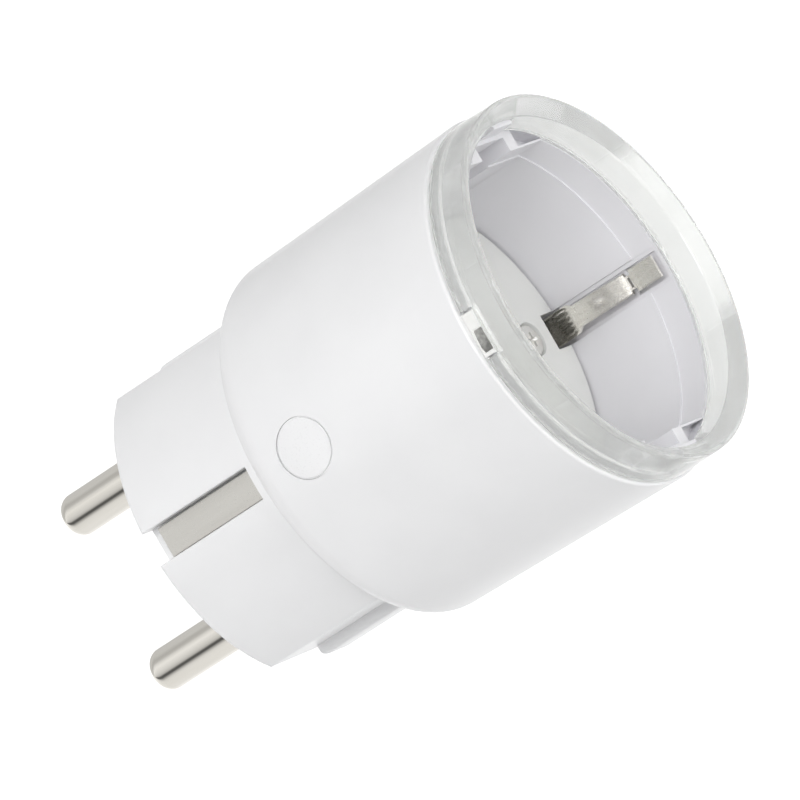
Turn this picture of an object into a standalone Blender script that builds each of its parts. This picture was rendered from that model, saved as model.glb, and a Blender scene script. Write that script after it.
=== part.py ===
"""A round smart plug that passes a mains socket through, with a relay inside.

The plug axis is Z: the plug's nose stands on Z = 0, its pins point down, and the
socket opens upwards. The button, one earth strip and the light's window face -Y.
Every size below is in millimetres, and the helpers turn it into metres.
"""
import math

import bmesh
import bpy
from mathutils import Matrix, Vector

MM = 0.001
GAP = 0.3

# Heights along the plug axis
NOSE_LENGTH = 16.0
FRONT_EDGE = 48.1
RIM_HEIGHT = 53.5
FLOOR_TOP = 34.46
FLOOR_THICKNESS = 2.0
CASE_FLOOR = 2.2
NECK_HEIGHT = 17.8
LEDGE_HEIGHT = 31.0

# Radii about the plug axis
NOSE_RADIUS = 19.35
REAR_RADIUS = 21.0
FRONT_RADIUS = 21.75
REAR_FILLET = 2.8
INNER_RADIUS = 19.5
SLEEVE_BORE = 20.25
NOSE_CAVITY_RADIUS = 17.75

# The flats and keys that turn a plug the right way round
NOSE_FLAT = 16.3
NOSE_CAVITY_FLAT = 14.7
KEY_OUT = 17.6
KEY_HALF = 2.7
KEY_START = 1.5

# Pins and their sockets
PIN_SPACING = 19.0
PIN_RADIUS = 2.4
PIN_LENGTH = 19.0
PIN_HOLE_RADIUS = 3.0
PIN_TIP_FILLET = 1.6
COLLAR_RADIUS = 3.2
COLLAR_LOW = 2.5
COLLAR_TOP = 4.0
TAIL_RADIUS = 1.0
TAIL_TOP = 10.5
CARRIER_TOP = 7.4
SLEEVE_INNER = 2.65
SLEEVE_OUTER = 3.3
SLEEVE_LOW = 19.5
SLEEVE_MOUTH = 32.1

# Earth contacts
STRIP_HALF = 1.72
STRIP_FACE = 17.6
STRIP_THICKNESS = 0.6
STRIP_START = 1.0
STRIP_END = 15.3
STRIP_SEAT = 16.7
STRAP_TOP = 30.0
STRAP_JOG = (18.1, 19.6)
STRAP_LEG = (4.7, 7.5)
BRIDGE_LOW = 30.3
BRIDGE_TOP = 30.9
CLIP_FOOT = 31.2
CLIP_TIP = 48.2
CLIP_THICKNESS = 0.5

# The socket's well
WELL_RADIUS = 19.1
WELL_FLAT = 16.6
WELL_STEP_HEIGHT = 45.75
WELL_TOP = 49.0
SLEEVE_RADIUS = 19.95
KEYWAY_HALF = 3.0
KEYWAY_OUT = 18.4
CHANNEL_HALF = 2.4
CHANNEL_BACK = 19.7
CLIP_HALF = 1.2
CLIP_PIVOT = (18.2, 34.0)

# Button
BUTTON_HEIGHT = 23.9
BUTTON_RADIUS = 3.2
BUTTON_FACE = 21.12
BUTTON_TAPER = 0.35
FLANGE_RADIUS = 4.2
FLANGE_THICKNESS = 0.5
SWITCH_DEPTH = 0.9
PLUNGER_RADIUS = 1.25
PLUNGER_OUT = 1.25
PLUNGER_IN = 0.85
PLUNGER_TRAVEL = 0.5

# Screws and the posts that they bite into
SCREW_OFFSET = 12.4
POST_RADIUS = 2.7
POST_TOP = 32.1
PILOT_RADIUS = 1.5
PILOT_LOW = 22.0
HEAD_RADIUS = 1.85
SHANK_RADIUS = 1.2
SHANK_TIP = 23.2
SCREW_SEAT_RADIUS = 2.2

# Boards
POWER_BOARD_LOW = 8.0
POWER_BOARD_TOP = 9.6
SEAT = POWER_BOARD_TOP + GAP
CONTROL_FACE = -16.3
CONTROL_BACK = -15.4

# Relay
RELAY_HALF_X = 5.1
RELAY_HALF_Y = 9.1
RELAY_TOP = 25.2
RELAY_WALL = 0.7
COIL_Y = -4.2

ROUND = 72
MEDIUM = 32
SMALL = 20


def clear_scene():
    """Remove whatever the file holds."""
    for obj in list(bpy.data.objects):
        bpy.data.objects.remove(obj, do_unlink=True)


def make_collection(name):
    """Make a collection under the scene."""
    collection = bpy.data.collections.new(name)
    bpy.context.scene.collection.children.link(collection)
    return collection


def make_material(name, colour, roughness, metallic=0.0):
    """Make a plain finish."""
    material = bpy.data.materials.new(name)
    material.use_nodes = True
    shader = material.node_tree.nodes["Principled BSDF"]
    shader.inputs["Base Color"].default_value = (*colour, 1.0)
    shader.inputs["Roughness"].default_value = roughness
    shader.inputs["Metallic"].default_value = metallic
    return material


clear_scene()
PARTS = make_collection("smart_plug")
CUTTERS = make_collection("cutters")

WHITE = make_material("white_shell", (0.86, 0.86, 0.87), 0.35)
CLEAR = make_material("clear_ring", (0.80, 0.83, 0.81), 0.12)
GREY_WALL = make_material("well_wall", (0.74, 0.74, 0.76), 0.38)
GREY_FLOOR = make_material("well_floor", (0.70, 0.71, 0.69), 0.45)
BUTTON_WHITE = make_material("button_white", (0.88, 0.88, 0.89), 0.32)
NICKEL = make_material("nickel", (0.72, 0.70, 0.66), 0.22, 1.0)
STEEL = make_material("steel", (0.55, 0.55, 0.56), 0.30, 1.0)
COPPER = make_material("copper_winding", (0.60, 0.28, 0.14), 0.35, 0.9)
BRASS = make_material("brass", (0.72, 0.55, 0.27), 0.28, 1.0)
BOARD = make_material("board_green", (0.05, 0.24, 0.12), 0.45)
BLACK = make_material("black_plastic", (0.03, 0.03, 0.035), 0.40)
YELLOW = make_material("film_yellow", (0.80, 0.62, 0.12), 0.40)
BLUE = make_material("varistor_blue", (0.06, 0.20, 0.55), 0.40)
CAN = make_material("capacitor_sleeve", (0.06, 0.07, 0.10), 0.30)
FLEX = make_material("flex_amber", (0.62, 0.36, 0.10), 0.35)
LED_WHITE = make_material("led_package", (0.82, 0.82, 0.78), 0.35)


def place(obj, name, material, cutter=False):
    """Give an object its name, its finish and its collection."""
    obj.name = name
    obj.data.name = name
    for collection in list(obj.users_collection):
        collection.objects.unlink(obj)
    if cutter:
        CUTTERS.objects.link(obj)
        obj.hide_render = True
        obj.display_type = "WIRE"
    else:
        PARTS.objects.link(obj)
        obj.data.materials.clear()
        obj.data.materials.append(material)
    return obj


def object_from_bmesh(bm, name, material, cutter=False):
    """Turn a bmesh into a placed object."""
    mesh = bpy.data.meshes.new(name)
    bm.to_mesh(mesh)
    bm.free()
    obj = bpy.data.objects.new(name, mesh)
    bpy.context.scene.collection.objects.link(obj)
    return place(obj, name, material, cutter)


def box(name, low, high, material=None, bevel=0.0, origin=(0, 0, 0), cutter=False):
    """A block between two corners, with rounded edges where bevel is given."""
    bm = bmesh.new()
    size = [(b - a) * MM for a, b in zip(low, high)]
    middle = [((a + b) / 2 - o) * MM for a, b, o in zip(low, high, origin)]
    matrix = Matrix.Translation(middle) @ Matrix.Diagonal((*size, 1.0))
    bmesh.ops.create_cube(bm, size=1.0, matrix=matrix)
    obj = object_from_bmesh(bm, name, material, cutter)
    obj.location = [o * MM for o in origin]
    if bevel:
        add_bevel(obj, bevel)
    return obj


def add_bevel(obj, width, segments=2):
    """Round the edges of a block."""
    modifier = obj.modifiers.new("rounded edges", "BEVEL")
    modifier.width = width * MM
    modifier.segments = segments
    modifier.limit_method = "ANGLE"
    modifier.angle_limit = math.radians(40)


def rod(name, radius, start, end, material=None, top_radius=None, sides=MEDIUM,
        origin=(0, 0, 0), cutter=False):
    """A cylinder or cone between two points."""
    a = Vector(start) - Vector(origin)
    b = Vector(end) - Vector(origin)
    along = b - a
    turn = along.to_track_quat("Z", "Y").to_matrix().to_4x4()
    bm = bmesh.new()
    bmesh.ops.create_cone(
        bm, cap_ends=True, segments=sides, radius1=radius * MM,
        radius2=(radius if top_radius is None else top_radius) * MM,
        depth=along.length * MM,
        matrix=Matrix.Translation((a + b) / 2 * MM) @ turn)
    obj = object_from_bmesh(bm, name, material, cutter)
    obj.location = Vector(origin) * MM
    return obj


def turned(name, profile, material=None, sides=ROUND, centre=(0, 0), closed=True,
           cutter=False):
    """Turn a profile of (radius, height) points about a vertical axis.

    The points run down the outer side, top to bottom, and come back up inside.
    """
    mesh = bpy.data.meshes.new(name)
    points = [(r * MM, 0.0, z * MM) for r, z in profile]
    count = len(points)
    edges = [(i, i + 1) for i in range(count - 1)]
    if closed:
        edges.append((count - 1, 0))
    mesh.from_pydata(points, edges, [])
    obj = bpy.data.objects.new(name, mesh)
    bpy.context.scene.collection.objects.link(obj)
    obj.location = (centre[0] * MM, centre[1] * MM, 0.0)
    modifier = obj.modifiers.new("turned", "SCREW")
    modifier.steps = sides
    modifier.render_steps = sides
    modifier.use_merge_vertices = True
    modifier.merge_threshold = 0.000001
    modifier.use_smooth_shade = False
    place(obj, name, material, cutter)
    if closed is False:
        weld = obj.modifiers.new("closed poles", "WELD")
        weld.merge_threshold = 0.000001
    return obj


def plate(name, outline, low, high, material=None, plane="XY", origin=(0, 0, 0),
          cutter=False):
    """A flat piece cut from a closed outline, between two levels.

    The outline lies in XY between two heights, in XZ between two values of Y, or
    in YZ between two values of X.
    """
    curve = bpy.data.curves.new(name, "CURVE")
    curve.dimensions = "2D"
    curve.fill_mode = "BOTH"
    curve.extrude = (high - low) / 2 * MM
    spline = curve.splines.new("POLY")
    spline.points.add(len(outline) - 1)
    for point, (a, b) in zip(spline.points, outline):
        point.co = (a * MM, b * MM, 0.0, 1.0)
    spline.use_cyclic_u = True
    guide = bpy.data.objects.new(name + "_outline", curve)
    bpy.context.scene.collection.objects.link(guide)
    level = (high + low) / 2 * MM
    if plane == "XY":
        guide.matrix_world = Matrix.Translation((0, 0, level))
    elif plane == "XZ":
        turn = Matrix.Rotation(math.radians(90), 4, "X")
        guide.matrix_world = Matrix.Translation((0, level, 0)) @ turn
    else:
        turn = Matrix(((0, 0, 1, 0), (1, 0, 0, 0), (0, 1, 0, 0), (0, 0, 0, 1)))
        guide.matrix_world = Matrix.Translation((level, 0, 0)) @ turn
    bpy.context.view_layer.update()
    depsgraph = bpy.context.evaluated_depsgraph_get()
    mesh = bpy.data.meshes.new_from_object(guide.evaluated_get(depsgraph))
    bm = bmesh.new()
    bm.from_mesh(mesh)
    bmesh.ops.remove_doubles(bm, verts=bm.verts, dist=0.000001)
    bmesh.ops.transform(bm, matrix=guide.matrix_world, verts=bm.verts)
    bmesh.ops.translate(bm, vec=-Vector(origin) * MM, verts=bm.verts)
    bmesh.ops.recalc_face_normals(bm, faces=bm.faces)
    bm.to_mesh(mesh)
    bm.free()
    bpy.data.objects.remove(guide)
    obj = bpy.data.objects.new(name, mesh)
    bpy.context.scene.collection.objects.link(obj)
    obj.location = Vector(origin) * MM
    return place(obj, name, material, cutter)


def boolean(target, other, operation):
    """Cut with, or join, another object."""
    modifier = target.modifiers.new(other.name, "BOOLEAN")
    modifier.operation = operation
    modifier.object = other
    modifier.solver = "EXACT"


def cut(target, *cutters):
    """Cut each cutter out of the target."""
    for cutter in cutters:
        boolean(target, cutter, "DIFFERENCE")


def join(target, *guides):
    """Join each guide onto the target."""
    for guide in guides:
        boolean(target, guide, "UNION")


def flatted_circle(radius, half_width, points_a_side=30):
    """A circle whose two sides at +X and -X are cut straight at half_width."""
    corner = math.acos(half_width / radius)
    outline = []
    for side in (0, 1):
        start = corner + side * math.pi
        sweep = math.pi - 2 * corner
        for i in range(points_a_side + 1):
            angle = start + sweep * i / points_a_side
            outline.append((radius * math.cos(angle), radius * math.sin(angle)))
    return outline


def arc(centre, radius, start, end, count):
    """Points of an arc, its angles in degrees."""
    points = []
    for i in range(count + 1):
        angle = math.radians(start + (end - start) * i / count)
        points.append((centre[0] + radius * math.cos(angle),
                       centre[1] + radius * math.sin(angle)))
    return points


def ribbon(path, thickness):
    """The closed outline of a strip of even thickness that follows a path."""
    left, right = [], []
    count = len(path)
    for i, point in enumerate(path):
        before = Vector(path[max(i - 1, 0)])
        after = Vector(path[min(i + 1, count - 1)])
        along = (after - before).normalized()
        side = Vector((-along.y, along.x)) * thickness / 2
        here = Vector(point)
        left.append(tuple(here + side))
        right.append(tuple(here - side))
    return left + right[::-1]


def smooth_path(knots, steps):
    """A Catmull-Rom curve through the knots."""
    points = [Vector(k) for k in knots]
    padded = [2 * points[0] - points[1]] + points + [2 * points[-1] - points[-2]]
    path = []
    for i in range(len(points) - 1):
        a, b, c, d = padded[i:i + 4]
        for j in range(steps):
            t = j / steps
            path.append(tuple(0.5 * (2 * b + (c - a) * t + (2 * a - 5 * b + 4 * c - d) * t * t
                                     + (3 * b - a - 3 * c + d) * t ** 3)))
    path.append(tuple(points[-1]))
    return path


def build_housing():
    """The white housing: the round body and the plug's nose in one moulding."""
    fillet_centre = (REAR_RADIUS - REAR_FILLET, NOSE_LENGTH + REAR_FILLET)
    lowest = -math.degrees(math.acos((NOSE_RADIUS - fillet_centre[0]) / REAR_FILLET))
    profile = [(FRONT_RADIUS - 0.2, FRONT_EDGE), (FRONT_RADIUS, FRONT_EDGE - 0.3)]
    profile += arc(fillet_centre, REAR_FILLET, 0, lowest, 8)
    profile += [(NOSE_RADIUS, 0.6), (NOSE_RADIUS - 0.18, 0.18), (NOSE_RADIUS - 0.6, 0.0)]
    profile += [(0.0, 0.0), (0.0, NECK_HEIGHT), (INNER_RADIUS, NECK_HEIGHT)]
    profile += [(INNER_RADIUS, LEDGE_HEIGHT), (SLEEVE_BORE, LEDGE_HEIGHT)]
    profile += [(SLEEVE_BORE, FRONT_EDGE)]
    housing = turned("housing", profile, WHITE)
    for sign in (-1, 1):
        name = "left" if sign < 0 else "right"
        x0, x1 = sorted((sign * NOSE_FLAT, sign * 25.0))
        cut(housing, box(f"nose_flat_{name}", (x0, -25, -1), (x1, 25, NOSE_LENGTH), cutter=True))
    cavity = flatted_circle(NOSE_CAVITY_RADIUS, NOSE_CAVITY_FLAT)
    cut(housing, plate("nose_cavity", cavity, CASE_FLOOR, NECK_HEIGHT + 1, cutter=True))
    for sign in (-1, 1):
        name = "left" if sign < 0 else "right"
        x0, x1 = sorted((sign * (NOSE_FLAT - 0.8), sign * KEY_OUT))
        join(housing, box(f"key_{name}", (x0, -KEY_HALF, KEY_START),
                          (x1, KEY_HALF, NOSE_LENGTH + 0.5), bevel=0.5, cutter=True))
    for sign in (-1, 1):
        add_strip_seat(housing, sign)
        add_post(housing, sign)
        add_pin_hole(housing, sign)
    cut(housing, rod("button_hole", BUTTON_RADIUS + GAP, (0, -15, BUTTON_HEIGHT),
                     (0, -24, BUTTON_HEIGHT), sides=48, cutter=True))
    cut(housing, box("flex_groove", (-2.4, -20.85, 27.0), (2.4, -18.9, FRONT_EDGE + 1),
                     cutter=True))
    return housing


def add_strip_seat(housing, sign):
    """The slot in the nose where an earth strip lies, and its way inside."""
    name = "front" if sign < 0 else "back"
    y0, y1 = sorted((sign * (STRIP_SEAT - 1.6), sign * (NOSE_CAVITY_RADIUS + 0.6)))
    join(housing, box(f"strip_backing_{name}", (-3.4, y0, 1.0), (3.4, y1, STRIP_END + 0.1),
                      cutter=True))
    y0, y1 = sorted((sign * STRIP_SEAT, sign * 22.0))
    half = STRIP_HALF + 0.2
    cut(housing, box(f"strip_notch_{name}", (-half, y0, -1), (half, y1, STRIP_END), cutter=True))
    y0, y1 = sorted((sign * STRIP_SEAT, sign * (STRIP_FACE + GAP)))
    cut(housing, box(f"strip_tunnel_{name}", (-half, y0, STRIP_END - 1),
                     (half, y1, NECK_HEIGHT + 1), cutter=True))


def add_post(housing, sign):
    """A post for one floor screw."""
    name = "front" if sign < 0 else "back"
    y = sign * SCREW_OFFSET
    join(housing, rod(f"post_{name}", POST_RADIUS, (0, y, 1.0), (0, y, POST_TOP),
                      sides=24, cutter=True))
    cut(housing, rod(f"pilot_{name}", PILOT_RADIUS, (0, y, PILOT_LOW), (0, y, POST_TOP + 1),
                     sides=SMALL, cutter=True))


def add_pin_hole(housing, sign):
    """The hole in the nose's face for one pin."""
    name = "left" if sign < 0 else "right"
    x = sign * PIN_SPACING / 2
    cut(housing, rod(f"pin_way_{name}", PIN_RADIUS + GAP, (x, 0, -1), (x, 0, CASE_FLOOR + 1),
                     sides=MEDIUM, cutter=True))


def build_light_ring():
    """The clear ring round the socket's mouth, with a pocket for its light."""
    profile = [(20.8, RIM_HEIGHT), (21.1, RIM_HEIGHT - 0.1), (21.33, RIM_HEIGHT - 0.35),
               (21.42, RIM_HEIGHT - 0.75), (FRONT_RADIUS - 0.03, FRONT_EDGE + GAP),
               (SLEEVE_RADIUS + 0.4, FRONT_EDGE + GAP), (SLEEVE_RADIUS + 0.4, WELL_TOP + GAP),
               (WELL_RADIUS + 0.2, WELL_TOP + GAP), (WELL_RADIUS + 0.35, RIM_HEIGHT - 1.0),
               (WELL_RADIUS + 0.55, RIM_HEIGHT - 0.65), (20.5, RIM_HEIGHT - 0.06)]
    ring = turned("light_ring", profile, CLEAR)
    cut(ring, box("light_pocket", (-2.75, -21.2, FRONT_EDGE - 1), (2.75, -20.0, 50.1),
                  cutter=True))
    return ring


def build_sleeve():
    """The socket's wall, with flats, keyways, pockets and earth clip channels."""
    profile = [(SLEEVE_RADIUS, WELL_TOP), (SLEEVE_RADIUS, LEDGE_HEIGHT + GAP),
               (0.0, LEDGE_HEIGHT + GAP), (0.0, WELL_TOP)]
    sleeve = turned("socket_sleeve", profile, GREY_WALL)
    bore = flatted_circle(WELL_RADIUS, WELL_FLAT)
    cut(sleeve, plate("well_bore", bore, LEDGE_HEIGHT - 1, WELL_TOP + 1, cutter=True))
    wide = flatted_circle(WELL_RADIUS + 0.18, WELL_FLAT + 0.15)
    cut(sleeve, plate("well_step", wide, WELL_STEP_HEIGHT, WELL_TOP + 1, cutter=True))
    for sign in (-1, 1):
        name = "left" if sign < 0 else "right"
        x0, x1 = sorted((sign * 15.0, sign * KEYWAY_OUT))
        cut(sleeve, box(f"keyway_{name}", (x0, -KEYWAY_HALF, FLOOR_TOP),
                        (x1, KEYWAY_HALF, WELL_TOP + 1), cutter=True))
        for side in (-1, 1):
            cut(sleeve, pocket(name, sign, side))
    for sign in (-1, 1):
        name = "front" if sign < 0 else "back"
        y0, y1 = sorted((sign * 17.8, sign * CHANNEL_BACK))
        cut(sleeve, box(f"clip_channel_{name}", (-CHANNEL_HALF, y0, LEDGE_HEIGHT - 1),
                        (CHANNEL_HALF, y1, WELL_TOP - 0.4), cutter=True))
        y0, y1 = sorted((sign * 17.8, sign * 22.0))
        cut(sleeve, box(f"clip_foot_way_{name}", (-CHANNEL_HALF, y0, LEDGE_HEIGHT - 1),
                        (CHANNEL_HALF, y1, FLOOR_TOP + 2.5), cutter=True))
    return sleeve


def pocket(name, sign, side):
    """The hollow behind a flat of the well, between the keyway and the round wall."""
    inner = WELL_FLAT + 0.55
    radius = WELL_RADIUS + 0.1
    start = 4.9
    first = math.degrees(math.asin(start / radius))
    last = math.degrees(math.acos(inner / radius))
    outline = [(inner, start)] + arc((0, 0), radius, first, last, 4)
    outline = [(sign * x, side * y) for x, y in outline]
    label = "front" if side < 0 else "back"
    return plate(f"pocket_{name}_{label}", outline, 39.0, WELL_TOP + 1, cutter=True)


def build_floor():
    """The socket's floor, with pin holes, screw seats and clip slots."""
    low = FLOOR_TOP - FLOOR_THICKNESS
    outline = flatted_circle(WELL_RADIUS - GAP, WELL_FLAT - GAP)
    floor = plate("socket_floor", outline, low, FLOOR_TOP, GREY_FLOOR)
    for sign in (-1, 1):
        side = "left" if sign < 0 else "right"
        end = "front" if sign < 0 else "back"
        x = sign * PIN_SPACING / 2
        cut(floor, rod(f"socket_hole_{side}", PIN_HOLE_RADIUS, (x, 0, low - 1),
                       (x, 0, FLOOR_TOP + 1), cutter=True))
        cut(floor, rod(f"socket_funnel_{side}", PIN_HOLE_RADIUS, (x, 0, FLOOR_TOP - 0.7),
                       (x, 0, FLOOR_TOP + 0.1), top_radius=3.8, cutter=True))
        y = sign * SCREW_OFFSET
        cut(floor, rod(f"screw_hole_{end}", PILOT_RADIUS, (0, y, low - 1), (0, y, FLOOR_TOP),
                       sides=SMALL, cutter=True))
        cut(floor, rod(f"screw_seat_{end}", SCREW_SEAT_RADIUS, (0, y, FLOOR_TOP - 1.1),
                       (0, y, FLOOR_TOP + 1), sides=SMALL, cutter=True))
        y0, y1 = sorted((sign * 16.1, sign * 22.0))
        cut(floor, box(f"clip_slot_{end}", (-2.6, y0, low - 1), (2.6, y1, FLOOR_TOP + 1),
                       cutter=True))
    return floor


def build_screw(name, sign):
    """A cross-head screw that holds the socket's floor to a post."""
    head = FLOOR_TOP - 0.15
    seat = FLOOR_TOP - 0.8
    profile = [(0.0, head), (1.0, head - 0.03), (HEAD_RADIUS - 0.1, head - 0.2),
               (HEAD_RADIUS, head - 0.35), (HEAD_RADIUS, seat), (SHANK_RADIUS, seat),
               (SHANK_RADIUS, SHANK_TIP + 0.8), (SHANK_RADIUS - 0.4, SHANK_TIP + 0.2),
               (0.0, SHANK_TIP)]
    screw = turned(name, profile, STEEL, sides=SMALL, centre=(0, sign * SCREW_OFFSET),
                   closed=False)
    y = sign * SCREW_OFFSET
    for a, b in ((1.05, 0.24), (0.24, 1.05)):
        cut(screw, box(f"{name}_cross_{a}", (-a, y - b, head - 0.5), (a, y + b, head + 1),
                       cutter=True))
    return screw


def build_pin(name, sign):
    """A round plug pin with its collar and its tail to the power board."""
    r = PIN_RADIUS
    profile = [(0.0, TAIL_TOP), (TAIL_RADIUS, TAIL_TOP), (TAIL_RADIUS, COLLAR_TOP)]
    profile += [(COLLAR_RADIUS, COLLAR_TOP), (COLLAR_RADIUS, COLLAR_LOW), (r, COLLAR_LOW)]
    tip = (r - PIN_TIP_FILLET, -PIN_LENGTH + PIN_TIP_FILLET)
    profile += arc(tip, PIN_TIP_FILLET, 0, -90, 5)
    profile += [(0.0, -PIN_LENGTH)]
    return turned(name, profile, NICKEL, sides=MEDIUM, centre=(sign * PIN_SPACING / 2, 0),
                  closed=False)


def build_pin_carrier():
    """The insulating block that holds the two pins' collars."""
    carrier = box("pin_carrier", (-13.4, -5.4, CASE_FLOOR + GAP), (13.4, 5.4, CARRIER_TOP),
                  BLACK, bevel=0.4)
    for sign in (-1, 1):
        name = "left" if sign < 0 else "right"
        x = sign * PIN_SPACING / 2
        cut(carrier, rod(f"collar_seat_{name}", COLLAR_RADIUS + GAP, (x, 0, 0),
                         (x, 0, COLLAR_TOP + GAP), sides=MEDIUM, cutter=True))
        cut(carrier, rod(f"tail_way_{name}", TAIL_RADIUS + GAP, (x, 0, COLLAR_LOW),
                         (x, 0, CARRIER_TOP + 1), sides=SMALL, cutter=True))
    return carrier


def build_earth_straps():
    """Two stamped straps: outside on the nose, then inside up to the bridge."""
    face, back = STRIP_FACE, STRIP_FACE - STRIP_THICKNESS
    top = STRAP_TOP
    straight = [(-STRIP_HALF, STRIP_START), (STRIP_HALF, STRIP_START), (STRIP_HALF, top),
                (-STRIP_HALF, top)]
    plate("earth_strap_back", straight, back, face, NICKEL, plane="XZ")
    jog_low, jog_high = STRAP_JOG
    leg_in, leg_out = STRAP_LEG
    around = [(-STRIP_HALF, STRIP_START), (STRIP_HALF, STRIP_START), (STRIP_HALF, jog_low),
              (leg_out - 1.0, jog_low), (leg_out, jog_low + 1.0), (leg_out, top),
              (leg_in, top), (leg_in, jog_high), (-STRIP_HALF, jog_high)]
    plate("earth_strap_front", around, -face, -back, NICKEL, plane="XZ")


def build_earth_bridge():
    """The flat half ring under the socket's floor that joins the earth pieces."""
    outline = arc((0, 0), 18.5, -99, 99, 26) + arc((0, 0), 15.9, 99, -99, 26)
    return plate("earth_bridge", outline, BRIDGE_LOW, BRIDGE_TOP, NICKEL)


def build_earth_clip(name, sign):
    """A bowed spring leaf in the well that touches a plug's earth strip."""
    y, z = CLIP_PIVOT
    knots = [(y, CLIP_FOOT), (y, z), (17.9, 35.4), (17.3, 37.3), (17.2, 38.2), (17.4, 40.0),
             (18.1, 43.0), (18.45, 44.3), (18.55, 45.2), (18.55, CLIP_TIP)]
    path = [(sign * a, b) for a, b in smooth_path(knots, 4)]
    outline = ribbon(path, CLIP_THICKNESS)
    return plate(name, outline, -CLIP_HALF, CLIP_HALF, NICKEL, plane="YZ",
                 origin=(0, sign * y, z))


def build_contact(name, sign):
    """A sprung sleeve that grips an inserted pin, with its tail to the board."""
    x = sign * PIN_SPACING / 2
    profile = [(SLEEVE_OUTER, SLEEVE_MOUTH), (SLEEVE_OUTER, SLEEVE_LOW),
               (SLEEVE_INNER, SLEEVE_LOW), (SLEEVE_INNER, SLEEVE_MOUTH)]
    contact = turned(name, profile, BRASS, sides=MEDIUM, centre=(x, 0))
    x0, x1 = sorted((sign * (PIN_SPACING / 2 + 2.75), sign * (PIN_SPACING / 2 + 3.5)))
    join(contact, box(f"{name}_tail", (x0, -1.1, SEAT), (x1, 1.1, 23.0), cutter=True))
    cut(contact, box(f"{name}_split", (x - 0.3, -4, 23.6), (x + 0.3, 4, 33), cutter=True))
    return contact


def build_power_board():
    """The round board low in the nose, cut away for the posts and strip seats."""
    outline = flatted_circle(NOSE_CAVITY_RADIUS - 0.45, NOSE_CAVITY_FLAT - 0.4)
    board = plate("power_board", outline, POWER_BOARD_LOW, POWER_BOARD_TOP, BOARD)
    for sign in (-1, 1):
        side = "left" if sign < 0 else "right"
        end = "front" if sign < 0 else "back"
        y0, y1 = sorted((sign * SCREW_OFFSET, sign * 20.0))
        cut(board, box(f"board_notch_{end}", (-3.8, y0, 7), (3.8, y1, 11), cutter=True))
        cut(board, rod(f"board_post_way_{end}", POST_RADIUS + GAP, (0, sign * SCREW_OFFSET, 7),
                       (0, sign * SCREW_OFFSET, 11), sides=24, cutter=True))
        x = sign * PIN_SPACING / 2
        cut(board, rod(f"board_pin_way_{side}", TAIL_RADIUS + GAP, (x, 0, 7), (x, 0, 11),
                       sides=SMALL, cutter=True))
    return board


def build_control_side():
    """The upright board behind the button, with its switch, radio and header."""
    box("control_board", (-9.0, CONTROL_FACE, 18.0), (9.0, CONTROL_BACK, 29.8), BOARD)
    box("radio_shield", (-8.5, CONTROL_BACK + GAP, 19.6), (-3.1, -13.3, 29.0), STEEL, bevel=0.25)
    header = box("board_header", (3.6, -14.8, SEAT), (8.4, -13.8, 11.4), BLACK)
    join(header, box("header_bar", (3.6, -15.1, 20.0), (8.4, -13.8, 21.6), cutter=True))
    for i in range(4):
        x = 4.2 + i * 1.2
        join(header, box(f"header_pin_{i}", (x - 0.25, -14.55, 11.0), (x + 0.25, -14.05, 20.5),
                         cutter=True))
    face = CONTROL_FACE - GAP
    switch = box("switch_body", (-2.6, face - SWITCH_DEPTH, BUTTON_HEIGHT - 2.6),
                 (2.6, face, BUTTON_HEIGHT + 2.6), BLACK, bevel=0.15)
    foot = (0, face - PLUNGER_IN, BUTTON_HEIGHT)
    bottom = face - PLUNGER_IN + PLUNGER_TRAVEL
    cut(switch, rod("switch_bore", PLUNGER_RADIUS + GAP, (0, bottom, BUTTON_HEIGHT),
                    (0, face - 2, BUTTON_HEIGHT), sides=24, cutter=True))
    rod("switch_plunger", PLUNGER_RADIUS, foot, (0, face - PLUNGER_OUT, BUTTON_HEIGHT), STEEL,
        sides=24, origin=foot)
    return face


def build_button(switch_face):
    """The round button: its cap in the housing's wall and its flange inside."""
    inner = switch_face - PLUNGER_OUT - GAP
    flange = inner - FLANGE_THICKNESS
    middle = (0, -BUTTON_FACE, BUTTON_HEIGHT)
    button = rod("button", BUTTON_RADIUS, (0, inner, BUTTON_HEIGHT),
                 (0, -BUTTON_FACE + 0.25, BUTTON_HEIGHT), BUTTON_WHITE, sides=48, origin=middle)
    join(button, rod("button_crown", BUTTON_RADIUS, (0, -BUTTON_FACE + 0.26, BUTTON_HEIGHT),
                     (0, -BUTTON_FACE, BUTTON_HEIGHT), top_radius=BUTTON_RADIUS - BUTTON_TAPER,
                     sides=48, cutter=True))
    join(button, rod("button_flange", FLANGE_RADIUS, (0, inner, BUTTON_HEIGHT),
                     (0, flange, BUTTON_HEIGHT), sides=MEDIUM, cutter=True))
    return button


def build_ring_light():
    """The light under the ring and the thin flex that feeds it."""
    box("ring_led", (-2.5, -20.95, 48.35), (2.5, -20.6, 49.8), LED_WHITE, bevel=0.08)
    knots = [(-20.4, 48.9), (-20.4, 32.0), (-20.0, 30.9), (-18.6, 29.2), (-17.3, 28.2),
             (-16.75, 27.4), (-16.75, 26.9)]
    path = [knots[0]] + smooth_path(knots[1:], 4)
    plate("led_flex", ribbon(path, 0.2), -1.6, 1.6, FLEX, plane="YZ")


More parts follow.
